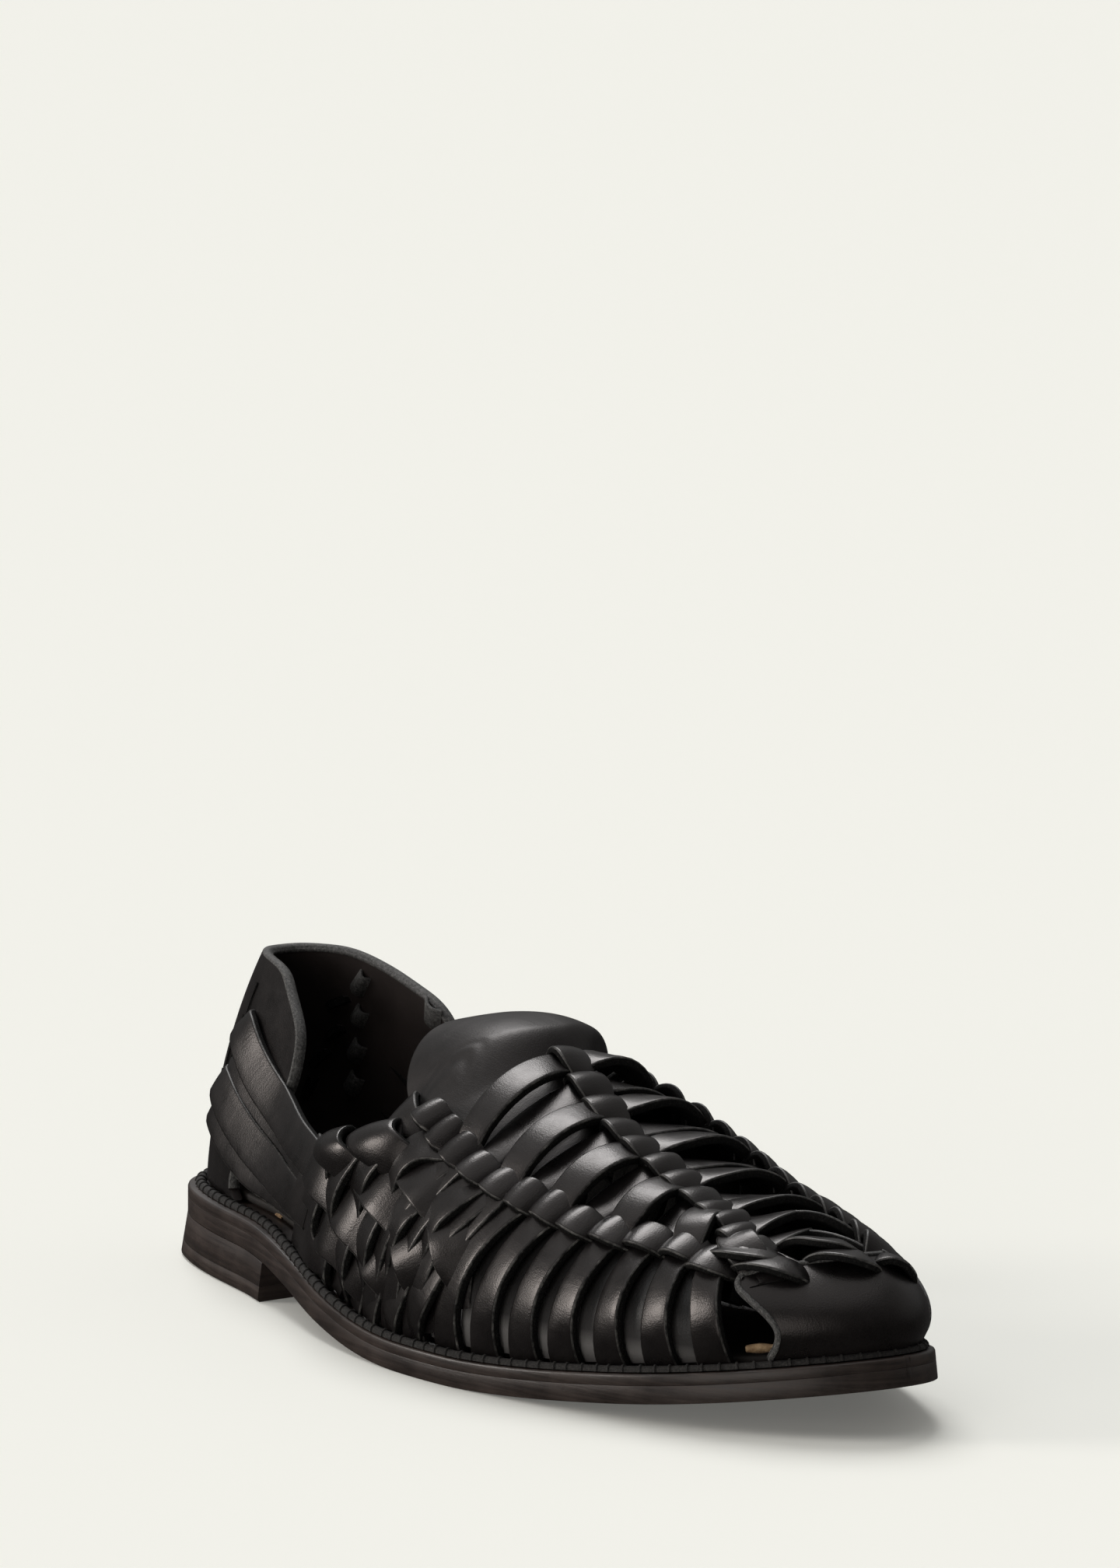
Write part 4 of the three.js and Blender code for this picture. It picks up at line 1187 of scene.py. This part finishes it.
def raw_rim(name, grid, normals, middle, width, thickness):
    """A bead of raw edge round a sheet's front edges and top, from a grid whose last row is the top."""
    top = np.s_[-1, 1:-1]
    way = [np.s_[2:, 0], top, np.s_[:1:-1, -1]]
    outward = grid.copy()
    outward[:, 0] = grid[:, 0] - grid[:, 1]
    outward[:, -1] = grid[:, -1] - grid[:, -2]
    outward[top] = grid[top] - grid[-2, 1:-1]
    centre = np.concatenate([(grid + normals * middle)[part] for part in way])
    facing = np.concatenate([unit(outward[part]) for part in way])
    run = run_along(centre)
    at = np.linspace(0, run[-1], RIM_SAMPLES)
    rows = np.stack([np.interp(at, run, column) for column in np.concatenate([centre, facing], 1).T], 1)
    for _ in range(RIM_SMOOTHING):
        rows[1:-1] = (rows[:-2] + rows[1:-1] * 2 + rows[2:]) / 4
    facing = unit(rows[:, 3:])
    sketch = Sketch()
    widths = np.full(RIM_SAMPLES, width)
    sweep(sketch, rows[:, :3] - facing * thickness / 2, facing, widths, thickness, RIM_CROWN)
    piece(name, sketch, [RIM, RIM, RIM])


# The cap's edge at both sides: turn along the way up, and its top: height share from the toe to the sides
CAP_EDGE = table("at turn", [
    (0.0, 0.835), (0.07, 0.837), (0.17, 0.843), (0.34, 0.845), (0.53, 0.835), (0.72, 0.817), (0.87, 0.803),
    (1.0, 0.803),
])
CAP_TOP = table("at rise", [
    (0.0, 0.69), (0.2, 0.68), (0.44, 0.65), (0.7, 0.59), (0.88, 0.52), (1.0, 0.46),
])
CAP_THICKNESS = 2.3
CAP_GRID = (32, 141)


def toe_cap():
    sketch = Sketch()
    spread = np.linspace(-1, 1, CAP_GRID[1])
    up = np.linspace(0, 1, CAP_GRID[0])[:, None]
    t = np.abs(spread)
    turn = mix(1, curve(CAP_EDGE, "turn")(up), t)
    top = curve(CAP_TOP, "rise")(t)
    across = np.where(spread < 0, -1, 1) * (1 - mix(FOOT_RISE, top, up))
    grid = form_point(turn, across)
    normals = form_normal(turn, across)
    sketch.shell(grid, normals, CAP_THICKNESS, rim_round=0.5)
    piece("toe_cap", sketch, [BLACK, BLACK])
    raw_rim("cap_rim", grid, normals, middle=1.6, width=2.6, thickness=1.4)


# Width and roll at the five stops of a short loop through the toe cap's slits
WIDE_LOOP = [(6, 10), (8, 22), (9, 26), (8, 22), (6, 10)]
SLIM_LOOP = [(6, 10), (7, 18), (8, 18), (7, 10), (6, 10)]
# These loops, with the side, turn, height share and lift of their stops
TOE_LOOPS = [
    (WIDE_LOOP, [(-1, 0.788, 0.55, -1.6), (-1, 0.802, 0.54, 1.2), (-1, 0.826, 0.515, 3.2),
                 (-1, 0.85, 0.495, 2.6), (-1, 0.868, 0.5, -0.6)]),
    (WIDE_LOOP, [(-1, 0.862, 0.66, -1.6), (-1, 0.88, 0.655, 1.4), (-1, 0.912, 0.625, 3.4),
                 (-1, 0.955, 0.59, 3.0), (1, 0.995, 0.585, -0.6)]),
    (SLIM_LOOP, [(1, 0.95, 0.62, -0.8), (1, 0.928, 0.575, 2.2), (1, 0.905, 0.52, 2.8), (1, 0.882, 0.45, 2.0),
                 (1, 0.86, 0.38, -0.8)]),
    (WIDE_LOOP, [(-1, 0.748, 0.6, -1.6), (-1, 0.768, 0.59, 1.2), (-1, 0.795, 0.575, 2.8),
                 (-1, 0.82, 0.58, 2.4), (-1, 0.838, 0.615, -0.8)]),
    (WIDE_LOOP, [(-1, 0.825, 0.785, -1.4), (-1, 0.85, 0.765, 1.8), (-1, 0.885, 0.735, 3.2),
                 (-1, 0.93, 0.73, 2.8), (-1, 0.98, 0.75, -0.8)]),
]
TOE_LOOP_THICKNESS = 2.1
TOE_LOOP_CROWN = 1.6


def toe_loops():
    sketch = Sketch()
    for profile, stops in TOE_LOOPS:
        side, turn, rise, lift = np.array(stops, float).T
        width, roll = np.array(profile, float).T
        across = side * (1 - rise)
        centres = lifted_point(turn, across, lift)
        normals = form_normal(turn, across)
        line_strap(sketch, centres, normals, width, 30, TOE_LOOP_THICKNESS, TOE_LOOP_CROWN, roll)
    piece("toe_loops", sketch, STRAP_MATERIALS)


# Tongue

DOME = table("at top", [(0.36, 0.905), (0.42, 0.955), (0.475, 0.972), (0.52, 0.94), (0.56, 0.86)])
dome_top = curve(DOME, "top", INSTEP_HEIGHT)
DOME_SHIFT = 8.0
DOME_REACH = {-1: 36.0, 1: 34.0}
# The share of its medial reach that the dome has at its back, and the share of length over which it grows
BACK_REACH = 0.9
BACK_RAMP = 0.12
DOME_FALL = {-1: 23.0, 1: 27.0}
DOME_POWER = {-1: 3, 1: 2.2}
DOME_END = 0.5
UNDER_STRAP = 0.542
EDGE_LEAD = 0.075
TONGUE_BACK = 0.372
TONGUE_FRONT = 0.64
TONGUE_CORNER = {-1: 0.08, 1: 0.13}
CORNER_POWER = 2.4
TONGUE_ACROSS = 0.56
TONGUE_THICKNESS = 1.8
TONGUE_GRID = (90, 120)
STRAP_CLEARANCE = 1.5
FUSE = 0.15


def by_side(w, values):
    """The value of the side that a place across the tongue is on."""
    return np.where(w < 0, values[-1], values[1])


def tongue_point(share, w):
    """A point of the tongue: w is -1 at its lateral edge and 1 at its medial edge."""
    medial_reach = DOME_REACH[1] * mix(BACK_REACH, 1, ease((share - TONGUE_BACK) / BACK_RAMP))
    side_reach = np.where(w < 0, DOME_REACH[-1], medial_reach)
    under = lifted_point(turn_of(share), w * TONGUE_ACROSS, FUSE - LEATHER - STRAP_CLEARANCE)
    fall = by_side(w, DOME_FALL) * np.abs(w) ** by_side(w, DOME_POWER)
    height = dome_top(share) - fall + slit_ripples(share, w)
    dome = np.stack([share * SOLE_LENGTH, DOME_SHIFT + w * side_reach, height], -1)
    passed = ease((share + EDGE_LEAD * w * w - DOME_END) / (UNDER_STRAP - DOME_END))
    return mix(dome, under, passed[..., None])


# Small folds round the slit in the tongue's lateral corner
SLIT_CENTRE = (0.487, -0.93)
RIPPLE_PITCH = 3.4
RIPPLE_HEIGHT = 0.32
RIPPLE_RING = (8.5, 4.5)


def slit_ripples(share, w):
    away = np.hypot((share - SLIT_CENTRE[0]) * SOLE_LENGTH, (w - SLIT_CENTRE[1]) * DOME_REACH[-1])
    fade = np.exp(-((away - RIPPLE_RING[0]) / RIPPLE_RING[1]) ** 2)
    return RIPPLE_HEIGHT * fade * np.sin(2 * np.pi * away / RIPPLE_PITCH)


TONGUE_STEP = 2e-3


def tongue_normal(share, w):
    return surface_normal(tongue_point, share, w, TONGUE_STEP)


def tongue():
    sketch = Sketch()
    rows, cols = TONGUE_GRID
    w = np.linspace(-1, 1, cols)[None] * np.ones((rows, 1))
    corner = by_side(w, TONGUE_CORNER) * (1 - np.sqrt(1 - np.abs(w) ** CORNER_POWER))
    share = mix(TONGUE_BACK + corner, TONGUE_FRONT, np.linspace(0, 1, rows)[:, None])
    sketch.shell(tongue_point(share, w), tongue_normal(share, w), TONGUE_THICKNESS, lift=-TONGUE_THICKNESS)
    piece("tongue_leather", sketch, [SOFT_BLACK, CUT], replaces=("tongue",))


# The lace's end that comes out of the tongue's slit: share, place across, lift and width of its stops
SLIT_STRAP = [(0.493, -0.88, -1.6, 6), (0.484, -0.92, 0.8, 7), (0.468, -0.955, 1.9, 9),
              (0.452, -0.98, 1.8, 10.5), (0.438, -0.99, -0.2, 10.5)]
SLIT_STRAP_THICKNESS = 1.8
SLIT_STRAP_CROWN = 1.5


def tongue_slit_strap():
    sketch = Sketch()
    share, w, lift, width = np.array(SLIT_STRAP, float).T
    normals = tongue_normal(share, w)
    centres = tongue_point(share, w) + normals * lift[:, None]
    line_strap(sketch, centres, normals, width, 24, SLIT_STRAP_THICKNESS, SLIT_STRAP_CROWN)
    piece("tongue_slit_strap", sketch, STRAP_MATERIALS, replaces=("tongue",))


# Sole

EDGE_ROUND = 0.7
JOINT_ROUND = 0.1
JOINT_LIFT = 0.14
JOINT_GAP = 0.02
HEEL_GAP = 0.05
# A rounded arris leaves a layer's edge and meets its face through one point, at this share of its reach
ARRIS_SHARE = 0.3
SOLE_STATIONS = 200
HEEL_STATIONS = 90


def sole_layer(name, low, high, inset, materials, node, rounds):
    """A layer of the sole between two heights above the underside; rounds are its lower and upper arris."""
    sketch = Sketch()
    turn = np.linspace(0, 1, SOLE_STATIONS)[1:-1]
    under, over = rounds
    profile = [(under, low), (ARRIS_SHARE * under, low + ARRIS_SHARE * under), (0, low + under)]
    profile += [(0, high - over), (ARRIS_SHARE * over, high - ARRIS_SHARE * over), (over, high)]
    rings = []
    for side in (-1, 1):
        for pull, height in profile[::-side]:
            x, y = inset_outline(turn, side, inset(share_of(turn)) + pull)
            rings.append(above_sole(x, y, height))
    sketch.plain_rings(np.stack(rings, 1))
    piece(name, sketch, materials, replaces=(node,))


def heel_layer(name, low, high, node, materials, rounds):
    """One layer of the heel between two heights above the floor, or up to the sole where high is None."""
    sketch = Sketch()
    breast = float(turn_of(HEEL_BREAST))
    turn = np.linspace(0, breast, HEEL_STATIONS)[1:]
    under, over = rounds
    rings = []
    for side in (-1, 1):
        x, y = outline(turn, side)
        top = underside(x) - JOINT_LIFT if high is None else high
        for pull, height in [(under, low), (0, low + under), (0, top - over), (over, top)][::-side]:
            spread = HEEL_FLARE * (1 - height / HEEL_HEIGHT) - pull
            back = spread * (1 - turn / breast)
            rings.append(np.stack([x - back, y + side * spread, np.broadcast_to(height, x.shape)], -1))
    sketch.plain_rings(np.stack(rings, 1))
    piece(name, sketch, materials, replaces=(node,))


# Bits of raw insole edge that show through the openings: turn, height share, length in turn and width
RAW_PATCHES = [(0.826, 0.04, 0.012, 3.0), (0.3, 0.012, 0.005, 1.4)]
PATCH_LIFT = -3.2
PATCH_THICKNESS = 1.2
PATCH_TAPER = 0.4


def raw_patches():
    sketch = Sketch()
    for turn, rise, reach, width in RAW_PATCHES:
        rows = [(share_of(turn + reach * t), rise - 1, PATCH_LIFT, width * (1 - PATCH_TAPER * t * t))
                for t in (-1, 0, 1)]
        strap(sketch, rows, samples=12, thickness=PATCH_THICKNESS)
    tan = raw_tan()
    piece("raw_insole_edge", sketch, [tan, tan, tan], replaces=())


def no_inset(share):
    return 0 * share


def insole_inset(share):
    return feather_inset(share) + LEATHER + SEAT_GAP


def sole():
    edge = burnished("sole_edge", (0.012, 0.0085, 0.0075), (0.05, 0.034, 0.028))
    lift = burnished("heel_lift", (0.016, 0.011, 0.0095), (0.06, 0.042, 0.034))
    joint = OUTSOLE + JOINT_LIFT
    seat = SOLE_THICKNESS + SEAT_GAP
    sole_layer("outsole_leather", 0, joint, no_inset, [edge], "outsole",
               (JOINT_ROUND * 2, JOINT_ROUND))
    sole_layer("midsole_leather", joint + JOINT_GAP, SOLE_THICKNESS, no_inset, [edge], "midsole",
               (JOINT_ROUND, EDGE_ROUND))
    heel_layer("heel_stack", TOP_LIFT + HEEL_GAP, None, "heel_block", [edge], (JOINT_ROUND, JOINT_ROUND))
    heel_layer("heel_top_lift", 0, TOP_LIFT, "top_lift", [lift], (EDGE_ROUND, JOINT_ROUND))
    sole_layer("insole_leather", seat, seat + INSOLE, insole_inset, [footbed()], "insole",
               (EDGE_ROUND, EDGE_ROUND))
    raw_patches()


WELT_HEIGHT = 1.5
WELT_WIDTH = 2.8
WELT_GAP = 0.05
# The height share at which the upper's swell meets the bead
WELT_RISE = 0.06
WELT_STATIONS = 420
WELT_RING = 9
STITCH_PITCH = 4.6
STITCH_RADIUS = 0.45
STITCH_LEAN = 0.55


def stitch(sketch, ring, next_ring):
    """One slanting stitch of thread over the bead."""
    along = next_ring - ring
    line = ring + along * np.linspace(-STITCH_LEAN, STITCH_LEAN, len(ring))[:, None]
    tangent = unit(np.gradient(line, axis=0))
    sideways = unit(np.cross(tangent, np.cross(along, tangent)))
    outward = unit(np.cross(tangent, sideways))
    turns = np.linspace(0, 2 * np.pi, 7)[:-1]
    rings = [line + STITCH_RADIUS * (math.cos(t) * sideways + math.sin(t) * outward) for t in turns]
    sketch.plain_rings(np.stack(rings, 1))


def welt_ring(turn, side):
    """The bead's half-round section at one place, from the upper over its top to the outside."""
    share = share_of(turn)
    reach = max(float(swell[side](share)) * math.sin(math.pi * WELT_RISE ** SWELL_POWER), 0)
    inner = float(feather_inset(share)) - LEATHER - FUSE - reach - SEAT_GAP
    ring = []
    for angle in np.linspace(0, math.pi, WELT_RING):
        x, y = inset_outline(turn, side, inner - (1 - math.cos(angle)) / 2 * WELT_WIDTH)
        ring.append(above_sole(x, y, SOLE_THICKNESS + SEAT_GAP + WELT_GAP + math.sin(angle) * WELT_HEIGHT))
    return ring


def welt():
    """The stitched bead round the upper: a soft rope with a thread over it at each stitch."""
    sketch = Sketch()
    turns = np.linspace(0, 1, WELT_STATIONS)
    around = [(turn, -1) for turn in turns[1:]] + [(turn, 1) for turn in turns[-2::-1]]
    rings = np.array([welt_ring(turn, side) for turn, side in around])
    sketch.plain_rings(np.concatenate([rings, rings[:1]]), ends=False)
    run = run_along(rings[:, WELT_RING // 2])
    for at in np.arange(0, run[-1], STITCH_PITCH):
        k = min(int(np.searchsorted(run, at)), len(rings) - 2)
        stitch(sketch, rings[k], rings[k + 1])
    piece("stitched_welt", sketch, [thread()], replaces=("welt",))


place_camera()
lay_floor()
light_studio()
cross_straps()
laces()
inner_strips()
quarter_weave()
back_straps()
counter()
slit_ends()
toe_cap()
toe_loops()
tongue()
tongue_slit_strap()
sole()
welt()
